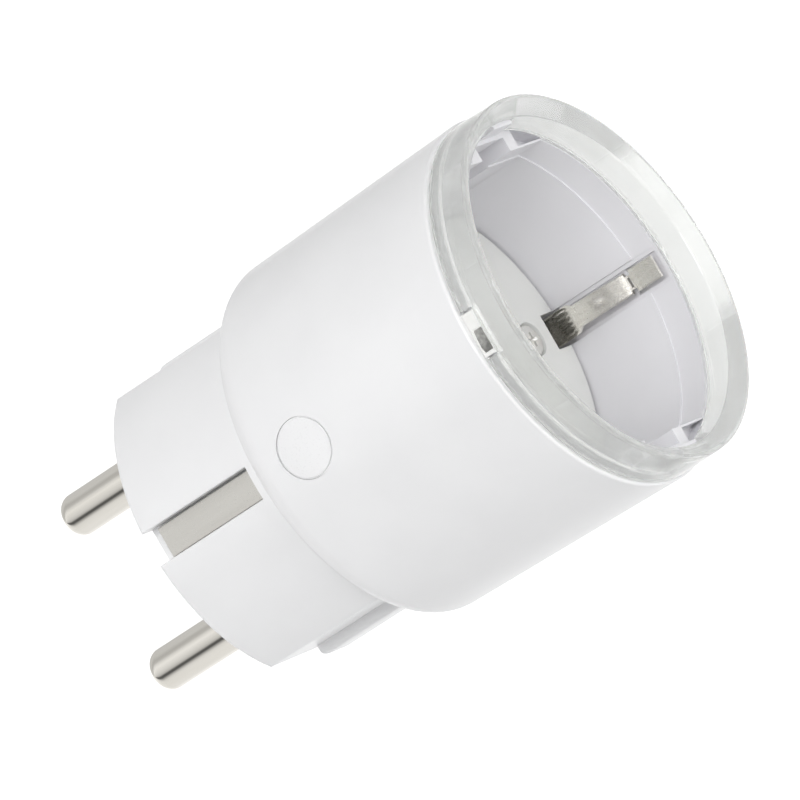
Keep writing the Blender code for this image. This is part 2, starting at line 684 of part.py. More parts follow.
def build_relay():
    """The relay: base, case, coil, yoke, armature and contacts."""
    floor = SEAT + 1.0
    inside = floor + GAP
    hx, hy = RELAY_HALF_X, RELAY_HALF_Y
    box("relay_base", (-hx, -hy, SEAT), (hx, hy, floor), BLACK, bevel=0.2)
    case = box("relay_case", (-hx, -hy, inside), (hx, hy, RELAY_TOP), BLACK, bevel=0.5)
    cut(case, box("case_hollow", (-hx + RELAY_WALL, -hy + RELAY_WALL, inside - 1),
                  (hx - RELAY_WALL, hy - RELAY_WALL, RELAY_TOP - RELAY_WALL), cutter=True))
    low = inside + 0.1
    pole = 22.2
    yoke = box("relay_yoke", (-3.2, -7.4, low), (3.2, 0.9, low + 0.8), STEEL)
    join(yoke, box("yoke_back", (-3.2, 0.1, low), (3.2, 0.9, 22.4), cutter=True),
         rod("yoke_core", 1.3, (0, COIL_Y, low + 0.4), (0, COIL_Y, pole), sides=SMALL,
             cutter=True))
    coil = [(3.4, 21.7), (3.4, 21.1), (3.0, 21.1), (3.0, 13.0), (3.4, 13.0), (3.4, 12.4),
            (1.6, 12.4), (1.6, 21.7)]
    turned("relay_coil", coil, COPPER, sides=24, centre=(0, COIL_Y))
    hinge = (0, 0.5, 22.7)
    armature = box("relay_armature", (-3.0, -7.6, 22.8), (3.0, 1.9, 23.5), STEEL, origin=hinge)
    join(armature, box("armature_arm", (-1.5, 1.3, 17.2), (1.5, 1.9, 23.2), cutter=True))
    root = (0, 2.55, low)
    blade = box("relay_contact_blade", (-2.0, 2.4, low), (2.0, 2.7, 21.8), BRASS, origin=root)
    join(blade, rod("blade_contact", 1.2, (0, 2.6, 19.4), (0, 3.8, 19.4), sides=SMALL,
                    cutter=True))
    fixed = box("relay_fixed_contact", (-2.0, 5.2, low), (2.0, 5.8, 21.8), BRASS)
    join(fixed, rod("fixed_contact_point", 1.2, (0, 5.4, 19.4), (0, 4.5, 19.4), sides=SMALL,
                    cutter=True))


def build_capacitor(name, x):
    """An upright electrolytic capacitor in its sleeve."""
    profile = [(0.0, 22.0), (3.4, 22.0), (4.0, 21.5), (4.0, 11.4), (3.7, 11.0), (4.0, 10.6),
               (4.0, SEAT), (0.0, SEAT)]
    return turned(name, profile, CAN, sides=MEDIUM, centre=(x, 9.0), closed=False)


def build_power_parts():
    """The remaining pieces that stand on the power board."""
    build_capacitor("bulk_capacitor_left", -9.6)
    build_capacitor("bulk_capacitor_right", 9.6)
    box("suppression_capacitor", (-12.9, -11.1, SEAT), (-6.6, -5.0, 18.8), YELLOW, bevel=0.4)
    drum = [(0.0, 16.8), (3.6, 16.8), (3.6, 15.9), (2.9, 15.9), (2.9, 11.0), (3.6, 11.0),
            (3.6, SEAT), (0.0, SEAT)]
    turned("supply_inductor", drum, COPPER, sides=24, centre=(9.4, -8.4), closed=False)
    disc = rod("varistor", 3.0, (-6.2, -12.6, 13.2), (-3.9, -12.6, 13.2), BLUE, sides=24)
    add_bevel(disc, 0.4)
    fuse = [(0.0, 18.0), (1.2, 18.0), (1.5, 17.6), (1.5, 10.3), (1.2, SEAT), (0.0, SEAT)]
    turned("fuse_resistor", fuse, GREY_FLOOR, sides=SMALL, centre=(4.9, -11.6), closed=False)
    box("current_shunt", (3.3, 10.0, SEAT), (5.1, 14.2, SEAT + 0.9), COPPER)


def main():
    """Build every piece."""
    build_housing()
    build_light_ring()
    build_sleeve()
    build_floor()
    build_screw("floor_screw_front", -1)
    build_screw("floor_screw_back", 1)
    build_pin("line_pin", -1)
    build_pin("neutral_pin", 1)
    build_pin_carrier()
    build_earth_straps()
    build_earth_bridge()
    build_earth_clip("earth_clip_front", -1)
    build_earth_clip("earth_clip_back", 1)
    build_contact("line_contact", -1)
    build_contact("neutral_contact", 1)
    build_power_board()
    switch_face = build_control_side()
    build_button(switch_face)
    build_ring_light()
    build_relay()
    build_power_parts()


main()
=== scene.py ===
"""The looks of a round pass-through smart plug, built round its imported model.

The plug axis is Z. The pins point down, the socket opens upwards, and the button, one
earth strip and the light's window face -Y. Sizes are in millimetres unless a name says
otherwise, and the mesh tools turn them into metres.
"""
import logging
import math
from collections.abc import Sequence
from dataclasses import dataclass
from enum import Enum

import bmesh
import bpy
from mathutils import Matrix, Vector


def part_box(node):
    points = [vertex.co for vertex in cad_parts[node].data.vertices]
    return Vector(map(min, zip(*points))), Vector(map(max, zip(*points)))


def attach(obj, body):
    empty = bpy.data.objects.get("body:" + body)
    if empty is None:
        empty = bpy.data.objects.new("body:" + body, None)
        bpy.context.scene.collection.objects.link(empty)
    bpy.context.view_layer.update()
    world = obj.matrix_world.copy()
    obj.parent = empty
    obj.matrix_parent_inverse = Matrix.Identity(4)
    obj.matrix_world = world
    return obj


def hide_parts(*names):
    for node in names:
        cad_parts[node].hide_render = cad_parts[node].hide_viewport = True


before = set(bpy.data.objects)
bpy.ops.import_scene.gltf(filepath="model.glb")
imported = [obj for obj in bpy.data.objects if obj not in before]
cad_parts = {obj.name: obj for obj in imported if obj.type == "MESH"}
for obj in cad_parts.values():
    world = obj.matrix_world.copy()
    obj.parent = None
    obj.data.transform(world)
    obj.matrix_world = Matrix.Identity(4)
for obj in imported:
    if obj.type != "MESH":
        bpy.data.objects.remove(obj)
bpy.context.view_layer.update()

LOG = logging.getLogger("smart_plug")
MM = 0.001
QUARTER = math.radians(90)
OVER = 1.0  # how far a cutter runs past a face
BEYOND = 22.0  # a radius outside the whole plug
PIN_OFFSET = 9.5  # from the plug axis to a pin's or a pin hole's own axis
SCREW_OFFSET = 12.4  # from the plug axis to a floor screw's own axis
BUTTON_HEIGHT = 23.9
NOSE_EDGE = 0.6
Point = tuple[float, float]
Point3 = tuple[float, float, float]
Piece = bpy.types.Object
Solid = bmesh.types.BMesh
UP: Point3 = (0.0, 0.0, 1.0)
FORWARD: Point3 = (0.0, -1.0, 0.0)
WHITE = (1.0, 1.0, 1.0, 1.0)


class Body(Enum):
    """The bodies that pieces ride on."""

    PLUG = "plug_body"
    BUTTON = "button"
    PLUNGER = "switch_plunger"
    ARMATURE = "relay_armature"
    BLADE = "relay_contact_blade"
    CLIP_FRONT = "earth_clip_front"
    CLIP_BACK = "earth_clip_back"


class Side(Enum):
    """The two ends of the socket's clip line, as the sign of Y."""

    FRONT = -1
    BACK = 1


class Plane(Enum):
    """An outline's plane, as the order of its two axes and the level across them."""

    XY = (0, 1, 2)
    XZ = (0, 2, 1)
    YZ = (2, 0, 1)


# --- nodes and finishes


def feed(node: bpy.types.Node, inputs: dict[str | int, object]) -> None:
    """Give some inputs of a node their values, or the sockets that they follow.

    Args:
        node: The node.
        inputs: The value or the source of each input.
    """
    for name, value in inputs.items():
        if isinstance(value, bpy.types.NodeSocket):
            node.id_data.links.new(value, node.inputs[name])
        else:
            node.inputs[name].default_value = value


def add_node(tree: bpy.types.NodeTree, kind: str, inputs: dict[str | int, object] | None = None,
             **options: object) -> bpy.types.Node:
    """Add a node to a tree.

    Args:
        tree: The tree.
        kind: The node's type.
        inputs: What feeds its inputs.
        options: Its own settings, which are made before its inputs are fed.

    Returns:
        The node.
    """
    node = tree.nodes.new(kind)
    for name, value in options.items():
        setattr(node, name, value)
    feed(node, inputs or {})
    return node


@dataclass(frozen=True)
class Finish:
    """A surface with a wandering tone, a fine grain and its own gloss.

    colour and tone are the two ends of the colour's slow wander, patch_mm its size.
    grain is the depth of the fine relief in thousandths of a millimetre, grain_mm its
    spacing, and lay stretches the grain along an axis, as brushing or drawing does.
    """

    name: str
    colour: Point3
    tone: Point3
    roughness: float
    gloss_wander: float = 0.04
    metallic: float = 0.0
    patch_mm: float = 9.0
    grain: float = 2.0
    grain_mm: float = 0.25
    lay: Point3 = (1.0, 1.0, 1.0)
    coat: float = 0.0
    coat_roughness: float = 0.08
    specular: float = 0.5

    TONE_STOPS = (0.35, 0.65)
    GLOSS_BAND = (0.3, 0.7)
    LEAST_ROUGHNESS = 0.02
    PATCH_DETAIL = 3.0
    GRAIN_DETAIL = 2.0

    def build(self) -> bpy.types.Material:
        """Make the material, on Object coordinates stretched along the lay.

        Returns:
            The finished node material.
        """
        material = bpy.data.materials.new(self.name)
        material.use_nodes = True
        tree = material.node_tree
        origin = add_node(tree, "ShaderNodeTexCoord")
        place = add_node(tree, "ShaderNodeMapping", {
            "Vector": origin.outputs["Object"], "Scale": self.lay}).outputs["Vector"]
        patch, fine = (
            add_node(tree, "ShaderNodeTexNoise", {
                "Vector": place, "Scale": 1 / (size * MM), "Detail": detail}).outputs["Fac"]
            for size, detail in ((self.patch_mm, self.PATCH_DETAIL),
                                 (self.grain_mm, self.GRAIN_DETAIL)))
        ramp = add_node(tree, "ShaderNodeValToRGB", {"Fac": patch})
        for stop, share, colour in zip(ramp.color_ramp.elements, self.TONE_STOPS,
                                       (self.colour, self.tone)):
            stop.position = share
            stop.color = (*colour, 1.0)
        gloss = add_node(tree, "ShaderNodeMapRange", {
            "Value": fine, "From Min": self.GLOSS_BAND[0], "From Max": self.GLOSS_BAND[1],
            "To Min": max(self.roughness - self.gloss_wander, self.LEAST_ROUGHNESS),
            "To Max": self.roughness + self.gloss_wander})
        bump = add_node(tree, "ShaderNodeBump", {
            "Height": fine, "Strength": 1.0, "Distance": self.grain * MM * MM})
        feed(tree.nodes["Principled BSDF"], {
            "Base Color": ramp.outputs["Color"], "Metallic": self.metallic,
            "Roughness": gloss.outputs["Result"], "Normal": bump.outputs["Normal"],
            "Specular IOR Level": self.specular, "Coat Weight": self.coat,
            "Coat Roughness": self.coat_roughness})
        return material


@dataclass(frozen=True)
class ClearFinish(Finish):
    """A clear moulding: it refracts, and part of it lets light straight through."""

    ior: float = 1.49
    solid: float = 0.84
    clearness: float = 0.76

    def build(self) -> bpy.types.Material:
        """Make the clear material.

        Returns:
            The finished node material.
        """
        material = super().build()
        feed(material.node_tree.nodes["Principled BSDF"], {
            "Transmission Weight": self.clearness, "IOR": self.ior, "Alpha": self.solid})
        return material


class Paint:
    """Every finish on the plug, made once."""

    SHELL = Finish("satin_white_shell", (0.862, 0.863, 0.870), (0.882, 0.883, 0.889), 0.34,
                   grain=1.2, grain_mm=0.22, coat=0.25, coat_roughness=0.12)
    BUTTON = Finish("white_button_cap", (0.875, 0.876, 0.882), (0.895, 0.896, 0.901), 0.30,
                    grain=0.9, grain_mm=0.2, coat=0.3, coat_roughness=0.1)
    RING = ClearFinish("clear_ring_moulding", (0.82, 0.832, 0.816), (0.84, 0.85, 0.834), 0.08,
                       gloss_wander=0.02, grain=0.06, grain_mm=2.5)
    WALL = Finish("lilac_grey_wall", (0.80, 0.795, 0.822), (0.82, 0.815, 0.84), 0.36,
                  grain=1.5, grain_mm=0.25)
    FLOOR = Finish("light_grey_floor", (0.74, 0.745, 0.73), (0.76, 0.765, 0.745), 0.46,
                   grain=2.2, grain_mm=0.2)
    NICKEL = Finish("nickel_plate", (0.71, 0.685, 0.63), (0.74, 0.715, 0.665), 0.12,
                    gloss_wander=0.02, metallic=1.0, patch_mm=3.0, grain=0.12, grain_mm=0.3,
                    lay=(3.0, 3.0, 0.25))
    STRIP = Finish("nickel_strip", (0.66, 0.645, 0.605), (0.70, 0.685, 0.645), 0.30,
                   metallic=1.0, patch_mm=4.0, grain=0.4, grain_mm=0.2, lay=(3.0, 3.0, 0.25))
    SCREW = Finish("nickel_screw", (0.72, 0.715, 0.695), (0.77, 0.765, 0.74), 0.45,
                   metallic=0.6, patch_mm=1.0, grain=0.5, grain_mm=0.12)
    SPRING = Finish("nickel_spring_leaf", (0.80, 0.775, 0.72), (0.88, 0.86, 0.81), 0.26,
                    metallic=1.0, patch_mm=1.2, grain=0.5, grain_mm=0.15, lay=(2.5, 1.0, 0.5))
    STEEL = Finish("zinc_plated_steel", (0.52, 0.52, 0.53), (0.60, 0.60, 0.61), 0.28,
                   metallic=1.0, patch_mm=2.0, grain=0.8, grain_mm=0.15)
    COPPER = Finish("enamelled_copper", (0.50, 0.20, 0.08), (0.62, 0.28, 0.12), 0.26,
                    metallic=0.9, patch_mm=1.5, grain=0.6, grain_mm=0.2, coat=0.5)
    BRASS = Finish("stamped_brass", (0.66, 0.46, 0.19), (0.74, 0.55, 0.27), 0.27, metallic=1.0,
                   patch_mm=2.5, grain=0.8, grain_mm=0.2, lay=(1.0, 1.0, 0.4))
    BOARD = Finish("green_solder_mask", (0.02, 0.14, 0.06), (0.03, 0.19, 0.085), 0.32,
                   patch_mm=1.8, grain=2.0, grain_mm=0.6, coat=0.3)
    BLACK = Finish("black_moulding", (0.020, 0.020, 0.023), (0.032, 0.032, 0.035), 0.42,
                   patch_mm=3.0, grain=2.5, grain_mm=0.2)
    FILM = Finish("yellow_film_case", (0.72, 0.50, 0.06), (0.78, 0.57, 0.10), 0.34,
                  patch_mm=3.0, grain=2.0, grain_mm=0.3)
    VARISTOR = Finish("blue_dipped_epoxy", (0.025, 0.10, 0.40), (0.04, 0.14, 0.48), 0.30,
                      patch_mm=1.5, grain=5.0, grain_mm=0.8, coat=0.3)
    CAN = Finish("dark_can_sleeve", (0.02, 0.025, 0.04), (0.035, 0.04, 0.06), 0.25,
                 patch_mm=3.0, grain=1.5, grain_mm=0.4)
    FLEX = Finish("amber_film", (0.50, 0.22, 0.03), (0.60, 0.30, 0.06), 0.22, patch_mm=2.0,
                  grain=1.0, grain_mm=0.5)
    LAMP = Finish("light_package", (0.90, 0.90, 0.88), (0.93, 0.93, 0.91), 0.35,
                  patch_mm=1.0, grain=1.0, grain_mm=0.2)
    LENS = Finish("light_lens_metal", (0.24, 0.24, 0.23), (0.46, 0.46, 0.44), 0.22,
                  metallic=1.0, patch_mm=0.6, grain=0.3, grain_mm=0.2)
    CERAMIC = Finish("fuse_ceramic", (0.55, 0.56, 0.52), (0.64, 0.64, 0.60), 0.5,
                     patch_mm=1.0, grain=3.0, grain_mm=0.25)
    _made: dict[str, bpy.types.Material] = {}

    @classmethod
    def of(cls, finish: Finish) -> bpy.types.Material:
        """The material of a finish, made at its first use.

        Args:
            finish: The finish.

        Returns:
            Its material.
        """
        if finish.name not in cls._made:
            cls._made[finish.name] = finish.build()
        return cls._made[finish.name]


# --- outlines


def rounded(corners: Sequence[tuple[float, float, float]], steps: int = 6) -> list[Point]:
    """Round the corners of a closed outline.

    Args:
        corners: Each corner's place and its radius.
        steps: The straight pieces in each rounding.

    Returns:
        The outline's points.
    """
    points: list[Point] = []
    count = len(corners)
    for i, (x, y, radius) in enumerate(corners):
        here = Vector((x, y))
        if radius <= 0:
            points.append((x, y))
            continue
        before = Vector(corners[i - 1][:2]) - here
        after = Vector(corners[(i + 1) % count][:2]) - here
        half = before.angle(after) / 2
        reach = min(radius / math.tan(half), before.length * 0.49, after.length * 0.49)
        true_radius = reach * math.tan(half)
        start = before.normalized()
        end = after.normalized()
        centre = here + (start + end).normalized() * (true_radius / math.sin(half))
        a = here + start * reach - centre
        b = here + end * reach - centre
        turn = math.atan2(a.x * b.y - a.y * b.x, a.dot(b))
        for j in range(steps + 1):
            angle = turn * j / steps
            spoke = Matrix.Rotation(angle, 2) @ a
            points.append((centre.x + spoke.x, centre.y + spoke.y))
    return points


def arc(centre: Point, radius: float, start: float, span: float, steps: int) -> list[Point]:
    """Points along an arc, both ends among them.

    Args:
        centre: Its centre.
        radius: Its radius.
        start: Its first angle, in radians.
        span: The angle that it turns through.
        steps: The straight pieces in it.

    Returns:
        The points.
    """
    angles = [start + span * i / steps for i in range(steps + 1)]
    return [(centre[0] + radius * math.cos(angle), centre[1] + radius * math.sin(angle))
            for angle in angles]


def flatted(radius: float, half: float) -> list[Point]:
    """A circle cut straight at +X and -X.

    Args:
        radius: The circle's radius.
        half: Where it is cut.

    Returns:
        The outline's points.
    """
    first = math.acos(half / radius)
    span = math.pi - 2 * first
    sides = [arc((0.0, 0.0), radius, start, span, 90) for start in (first, first + math.pi)]
    return sides[0] + sides[1]


def circle(radius: float, steps: int, centre: Point = (0.0, 0.0)) -> list[Point]:
    """Points round a circle.

    Args:
        radius: Its radius.
        steps: How many points.
        centre: Its centre.

    Returns:
        The points.
    """
    return arc(centre, radius, 0.0, math.tau, steps)[:-1]


def quad(low_half: float, low: float, high_half: float, high: float) -> list[Point]:
    """Four corners, even about the outline's second axis.

    Args:
        low_half: Half of its width at the first level.
        low: The first level.
        high_half: Half of its width at the second level.
        high: The second level.

    Returns:
        The corners.
    """
    return [(-low_half, low), (low_half, low), (high_half, high), (-high_half, high)]


def smooth_path(knots: Sequence[Point], steps: int) -> list[Point]:
    """A smooth line through the knots.

    Args:
        knots: The points that it passes.
        steps: The pieces between two knots.

    Returns:
        The line's points.
    """
    points = [Vector(k) for k in knots]
    padded = [2 * points[0] - points[1], *points, 2 * points[-1] - points[-2]]
    path: list[Point] = []
    for a, b, c, d in zip(padded, padded[1:], padded[2:], padded[3:]):
        for j in range(steps):
            t = j / steps
            path.append(tuple(0.5 * (2 * b + (c - a) * t + (2 * a - 5 * b + 4 * c - d) * t * t
                                     + (3 * b - a - 3 * c + d) * t ** 3)))
    path.append(tuple(points[-1]))
    return path


# --- mesh tools


def loft(sections: Sequence[Sequence[Point3]]) -> Solid:
    """Skin a row of closed sections that have the same number of points.

    Args:
        sections: The sections, from one end to the other.

    Returns:
        The closed mesh, in millimetres.
    """
    bm = bmesh.new()
    rings = [[bm.verts.new(p) for p in section] for section in sections]
    count = len(sections[0])
    for low, high in zip(rings, rings[1:]):
        for i in range(count):
            j = (i + 1) % count
            bm.faces.new((low[i], low[j], high[j], high[i]))
    bm.faces.new(rings[0][::-1])
    bm.faces.new(rings[-1])
    bmesh.ops.recalc_face_normals(bm, faces=bm.faces)
    return bm


def lathe(profile: Sequence[Point], steps: int = 320, centre: Point = (0.0, 0.0)) -> Solid:
    """Turn a closed outline of (radius, height) about a vertical axis.

    Args:
        profile: The outline, whose points at radius 0 lie on the axis.
        steps: The pieces round it.
        centre: Where the axis stands.

    Returns:
        The closed mesh, in millimetres.
    """
    bm = bmesh.new()
    rings = []
    for r, z in profile:
        if r < 1e-6:
            rings.append([bm.verts.new((*centre, z))] * steps)
        else:
            rings.append([bm.verts.new((x, y, z)) for x, y in circle(r, steps, centre)])
    for a, b in zip(rings, rings[1:] + rings[:1]):
        for i in range(steps):
            j = (i + 1) % steps
            loop = list(dict.fromkeys((a[i], a[j], b[j], b[i])))
            if len(loop) > 2:
                bm.faces.new(loop)
    bmesh.ops.recalc_face_normals(bm, faces=bm.faces)
    return bm


def prism(outline: Sequence[Point], low: float, high: float, plane: Plane = Plane.XY) -> Solid:
    """A straight bar with a closed outline.

    Args:
        outline: The outline, in the plane's two axes.
        low: Its lower level along the third axis.
        high: Its upper level.
        plane: The outline's plane.

    Returns:
        The closed mesh, in millimetres.
    """
    return loft([[tuple((*point, level)[i] for i in plane.value) for point in outline]
                 for level in (low, high)])


def block(low: Point3, high: Point3) -> Solid:
    """A plain block between any two opposite corners.

    Args:
        low: One corner.
        high: The other.

    Returns:
        The closed mesh, in millimetres.
    """
    (x0, x1), (y0, y1), (z0, z1) = (sorted(pair) for pair in zip(low, high))
    return prism([(x0, y0), (x1, y0), (x1, y1), (x0, y1)], z0, z1)


def rod(profile: Sequence[Point], start: Point3, towards: Point3, steps: int = 64) -> Solid:
    """Turn a profile of (radius, distance) about a line.

    Args:
        profile: The outline, whose distances run along the line.
        start: Where the line starts.
        towards: Its direction.
        steps: The pieces round it.

    Returns:
        The closed mesh, in millimetres.
    """
    bm = lathe(profile, steps)
    turn = Vector(towards).to_track_quat("Z", "Y").to_matrix().to_4x4()
    bmesh.ops.transform(bm, matrix=Matrix.Translation(start) @ turn, verts=bm.verts)
    return bm


def cylinder(radius: float, length: float) -> list[Point]:
    """The profile of a plain cylinder, for cutting.

    Args:
        radius: Its radius.
        length: Its length.

    Returns:
        The outline.
    """
    return [(0.0, 0.0), (radius, 0.0), (radius, length), (0.0, length)]


def make(name: str, bm: Solid) -> Piece:
    """Turn a mesh in millimetres into an object in metres at the origin.

    Args:
        name: The object's name.
        bm: The mesh, which is used up.

    Returns:
        The object.
    """
    bmesh.ops.scale(bm, vec=(MM, MM, MM), verts=bm.verts)
    mesh = bpy.data.meshes.new(name)
    bm.to_mesh(mesh)
    bm.free()
    obj = bpy.data.objects.new(name, mesh)
    bpy.context.scene.collection.objects.link(obj)
    return obj


def settle(obj: Piece) -> Piece:
    """Turn an object's modifiers into its plain mesh.

    Args:
        obj: The object.

    Returns:
        The same object.
    """
    graph = bpy.context.evaluated_depsgraph_get()
    mesh = bpy.data.meshes.new_from_object(obj.evaluated_get(graph))
    obj.modifiers.clear()
    obj.data = mesh
    return obj


def combine(target: Piece, tools: Sequence[Solid],
            operation: str = "DIFFERENCE") -> None:
    """Cut the tools out of a piece, or join them to it.

    Args:
        target: The piece.
        tools: The meshes, in millimetres, which are used up.
        operation: DIFFERENCE or UNION.
    """
    helpers = [make(f"{target.name}_tool", bm) for bm in tools]
    for helper in helpers:
        modifier = target.modifiers.new("tool", "BOOLEAN")
        modifier.operation = operation
        modifier.object = helper
        modifier.solver = "EXACT"
    settle(target)
    for helper in helpers:
        bpy.data.objects.remove(helper, do_unlink=True)


def soften(obj: Piece, width: float, segments: int = 2, angle: float = 40.0) -> None:
    """Round a piece's edges.

    Args:
        obj: The piece.
        width: The rounding's width.
        segments: Its pieces.
        angle: The least fold that counts as an edge, in degrees.
    """
    modifier = obj.modifiers.new("rounded edges", "BEVEL")
    modifier.width = width * MM
    modifier.segments = segments
    modifier.limit_method = "ANGLE"
    modifier.angle_limit = math.radians(angle)
    settle(obj)


def polish(obj: Piece, finish: Finish, angle: float = 32.0) -> Piece:
    """Shade a piece smooth, keep its flat faces flat, and give it its finish.

    Args:
        obj: The piece.
        finish: Its finish.
        angle: The least fold that stays sharp, in degrees.

    Returns:
        The piece.
    """
    obj.data.shade_smooth()
    obj.data.set_sharp_from_angle(angle=math.radians(angle))
    modifier = obj.modifiers.new("even light", "WEIGHTED_NORMAL")
    modifier.mode = "FACE_AREA"
    modifier.keep_sharp = True
    settle(obj)
    obj.data.materials.clear()
    obj.data.materials.append(Paint.of(finish))
    return obj


def fit(obj: Piece, body: Body, node: str) -> None:
    """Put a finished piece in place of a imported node.

    Args:
        obj: The piece.
        body: The body that it rides on.
        node: The node that it stands for.
    """
    obj.name = f"{node}_piece"
    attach(obj, body.value)
    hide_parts(node)
    LOG.info("%s: %d faces", obj.name, len(obj.data.polygons))


# --- housing and button


@dataclass
class Housing:
    """The white housing: the round body and the plug's nose in one moulding."""

    nose_radius: float = 19.35
    nose_flat: float = 16.3
    nose_length: float = 16.0
    rear_radius: float = 21.0
    rear_fillet: float = 2.8
    front_radius: float = 21.75
    front_edge: float = 48.1
    taper: float = 0.1
    taper_end: float = 40.0
    lip: float = 0.32
    bore_lip: float = 0.12
    bore: float = 20.25
    ledge: float = 31.0
    inner_radius: float = 19.5
    neck: float = 17.8
    cavity_radius: float = 17.75
    cavity_flat: float = 14.7
    cavity_floor: float = 2.2
    key_half: float = 2.7
    key_start: float = 1.5
    key_corner: float = 0.5
    key_steps: tuple[Point, ...] = ((-1.2, 0.0), (0.0, 0.0), (0.72, 0.0), (1.0, 0.1),
                                    (1.2, 0.3), (1.3, 0.6))
    slot_half: float = 1.92
    slot_seat: float = 16.7
    slot_end: float = 15.3
    slot_wall: float = 17.9
    mouth_flare: float = 0.9
    mouth_overlap: float = 0.02
    mouth_out: float = 20.15
    mouth_in: float = 19.12
    rib_half: float = 3.4
    rib_in: float = 15.1
    rib_out: float = 18.35
    rib_low: float = 1.0
    rib_over: float = 0.1
    pin_way: float = 2.7
    pin_funnel: float = 0.25
    pin_way_end: float = 3.2
    post_radius: float = 2.7
    post_low: float = 1.0
    post_top: float = 32.1
    post_bore: float = 1.5
    post_bore_low: float = 22.0
    button_way: float = 3.38
    button_way_start: float = 15.0
    button_bevel: float = 0.12
    button_bevel_low: float = 21.03
    button_bevel_high: float = 21.15
    flex_way_low: Point3 = (-2.4, -20.85, 27.0)
    flex_way_high: Point = (2.4, -18.9)

    def profile(self) -> list[Point]:
        """The turned half section, from the nose's face round to the neck.

        Returns:
            Its points.
        """
        nose = (self.nose_radius - NOSE_EDGE, NOSE_EDGE)
        rear = (self.rear_radius - self.rear_fillet, self.nose_length + self.rear_fillet)
        lowest = math.acos((self.nose_radius - rear[0]) / self.rear_fillet)
        mouth = rounded([(self.front_radius - self.taper, self.taper_end, 0),
                         (self.front_radius, self.front_edge, self.lip),
                         (self.bore, self.front_edge, self.bore_lip),
                         (self.bore, self.taper_end, 0)], 5)
        return [(0.0, 0.0), *arc(nose, NOSE_EDGE, -QUARTER, QUARTER, 6),
                *arc(rear, self.rear_fillet, -lowest, lowest, 16), *mouth[1:-1],
                (self.bore, self.ledge), (self.inner_radius, self.ledge),
                (self.inner_radius, self.neck), (0.0, self.neck)]

    def flat_cutter(self, sign: int) -> Solid:
        """What is cut off one side of the nose, with the foot of the flat rounded.

        Args:
            sign: The side, as the sign of X.

        Returns:
            The cutter.
        """
        foot = self.nose_flat - NOSE_EDGE
        outline = [(BEYOND, self.nose_length), (self.nose_flat, self.nose_length),
                   *arc((foot, NOSE_EDGE), NOSE_EDGE, 0.0, -QUARTER, 6),
                   (foot, -OVER), (BEYOND, -OVER)]
        return prism([(sign * x, z) for x, z in outline], -BEYOND, BEYOND, Plane.XZ)

    def key(self, sign: int) -> Solid:
        """The rib on one flat of the nose.

        Args:
            sign: The side, as the sign of X.

        Returns:
            The rib.
        """
        top = self.nose_length + 0.5
        sections = []
        for depth, inset in self.key_steps:
            half, low, corner = self.key_half - inset, self.key_start + inset, self.key_corner
            outline = rounded([(-half, low, corner), (half, low, corner), (half, top, 0.0),
                               (-half, top, 0.0)], 5)
            sections.append([(sign * (self.nose_flat + depth), y, z) for y, z in outline])
        return loft(sections)

    def strip_cuts(self, sign: int) -> list[Solid]:
        """The way of one earth strip: along the nose, its flared mouth, and past the neck.

        Args:
            sign: The side, as the sign of Y.

        Returns:
            The cutters.
        """
        half, seat, end = self.slot_half, sign * self.slot_seat, self.slot_end
        mouth = quad(half + self.mouth_flare, sign * self.mouth_out,
                     half - self.mouth_overlap, sign * self.mouth_in)
        return [block((-half, seat, -OVER), (half, sign * BEYOND, end)),
                prism(mouth, -OVER, end + self.rib_over),
                block((-half, seat, end - OVER), (half, sign * self.slot_wall, self.neck + OVER))]

    def inner_cuts(self) -> list[Solid]:
        """The hollows that are cut once the ribs and posts are on.

        Returns:
            The cutters.
        """
        cuts = []
        way, wide = self.pin_way, self.pin_way + self.pin_funnel
        hole = [(0.0, -OVER), (wide, -OVER), (wide, 0.0), (way, self.pin_funnel),
                (way, self.pin_way_end), (0.0, self.pin_way_end)]
        bore = cylinder(self.post_bore, self.post_top + OVER - self.post_bore_low)
        for sign in (-1, 1):
            cuts += self.strip_cuts(sign)
            cuts.append(rod(bore, (0, sign * SCREW_OFFSET, self.post_bore_low), UP, 32))
            cuts.append(lathe(hole, 64, (sign * PIN_OFFSET, 0.0)))
        way, wide = self.button_way, self.button_way + self.button_bevel
        hole = [(0.0, self.button_way_start), (way, self.button_way_start),
                (way, self.button_bevel_low), (wide, self.button_bevel_high),
                (wide, BEYOND), (0.0, BEYOND)]
        cuts.append(rod(hole, (0, 0, BUTTON_HEIGHT), FORWARD, 128))
        cuts.append(block(self.flex_way_low, (*self.flex_way_high, self.front_edge + OVER)))
        return cuts

    def build(self) -> None:
        """Build the housing and put it in place."""
        shell = make("housing_shell", lathe(self.profile()))
        cavity = prism(flatted(self.cavity_radius, self.cavity_flat), self.cavity_floor,
                       self.neck + OVER)
        combine(shell, [self.flat_cutter(-1), self.flat_cutter(1), cavity])
        ribs = [self.key(-1), self.key(1)]
        post = cylinder(self.post_radius, self.post_top - self.post_low)
        for sign in (-1, 1):
            ribs.append(block((-self.rib_half, sign * self.rib_in, self.rib_low),
                              (self.rib_half, sign * self.rib_out, self.slot_end + self.rib_over)))
            ribs.append(rod(post, (0, sign * SCREW_OFFSET, self.post_low), UP, 48))
        combine(shell, ribs, "UNION")
        combine(shell, self.inner_cuts())
        fit(polish(shell, Paint.SHELL), Body.PLUG, "housing")


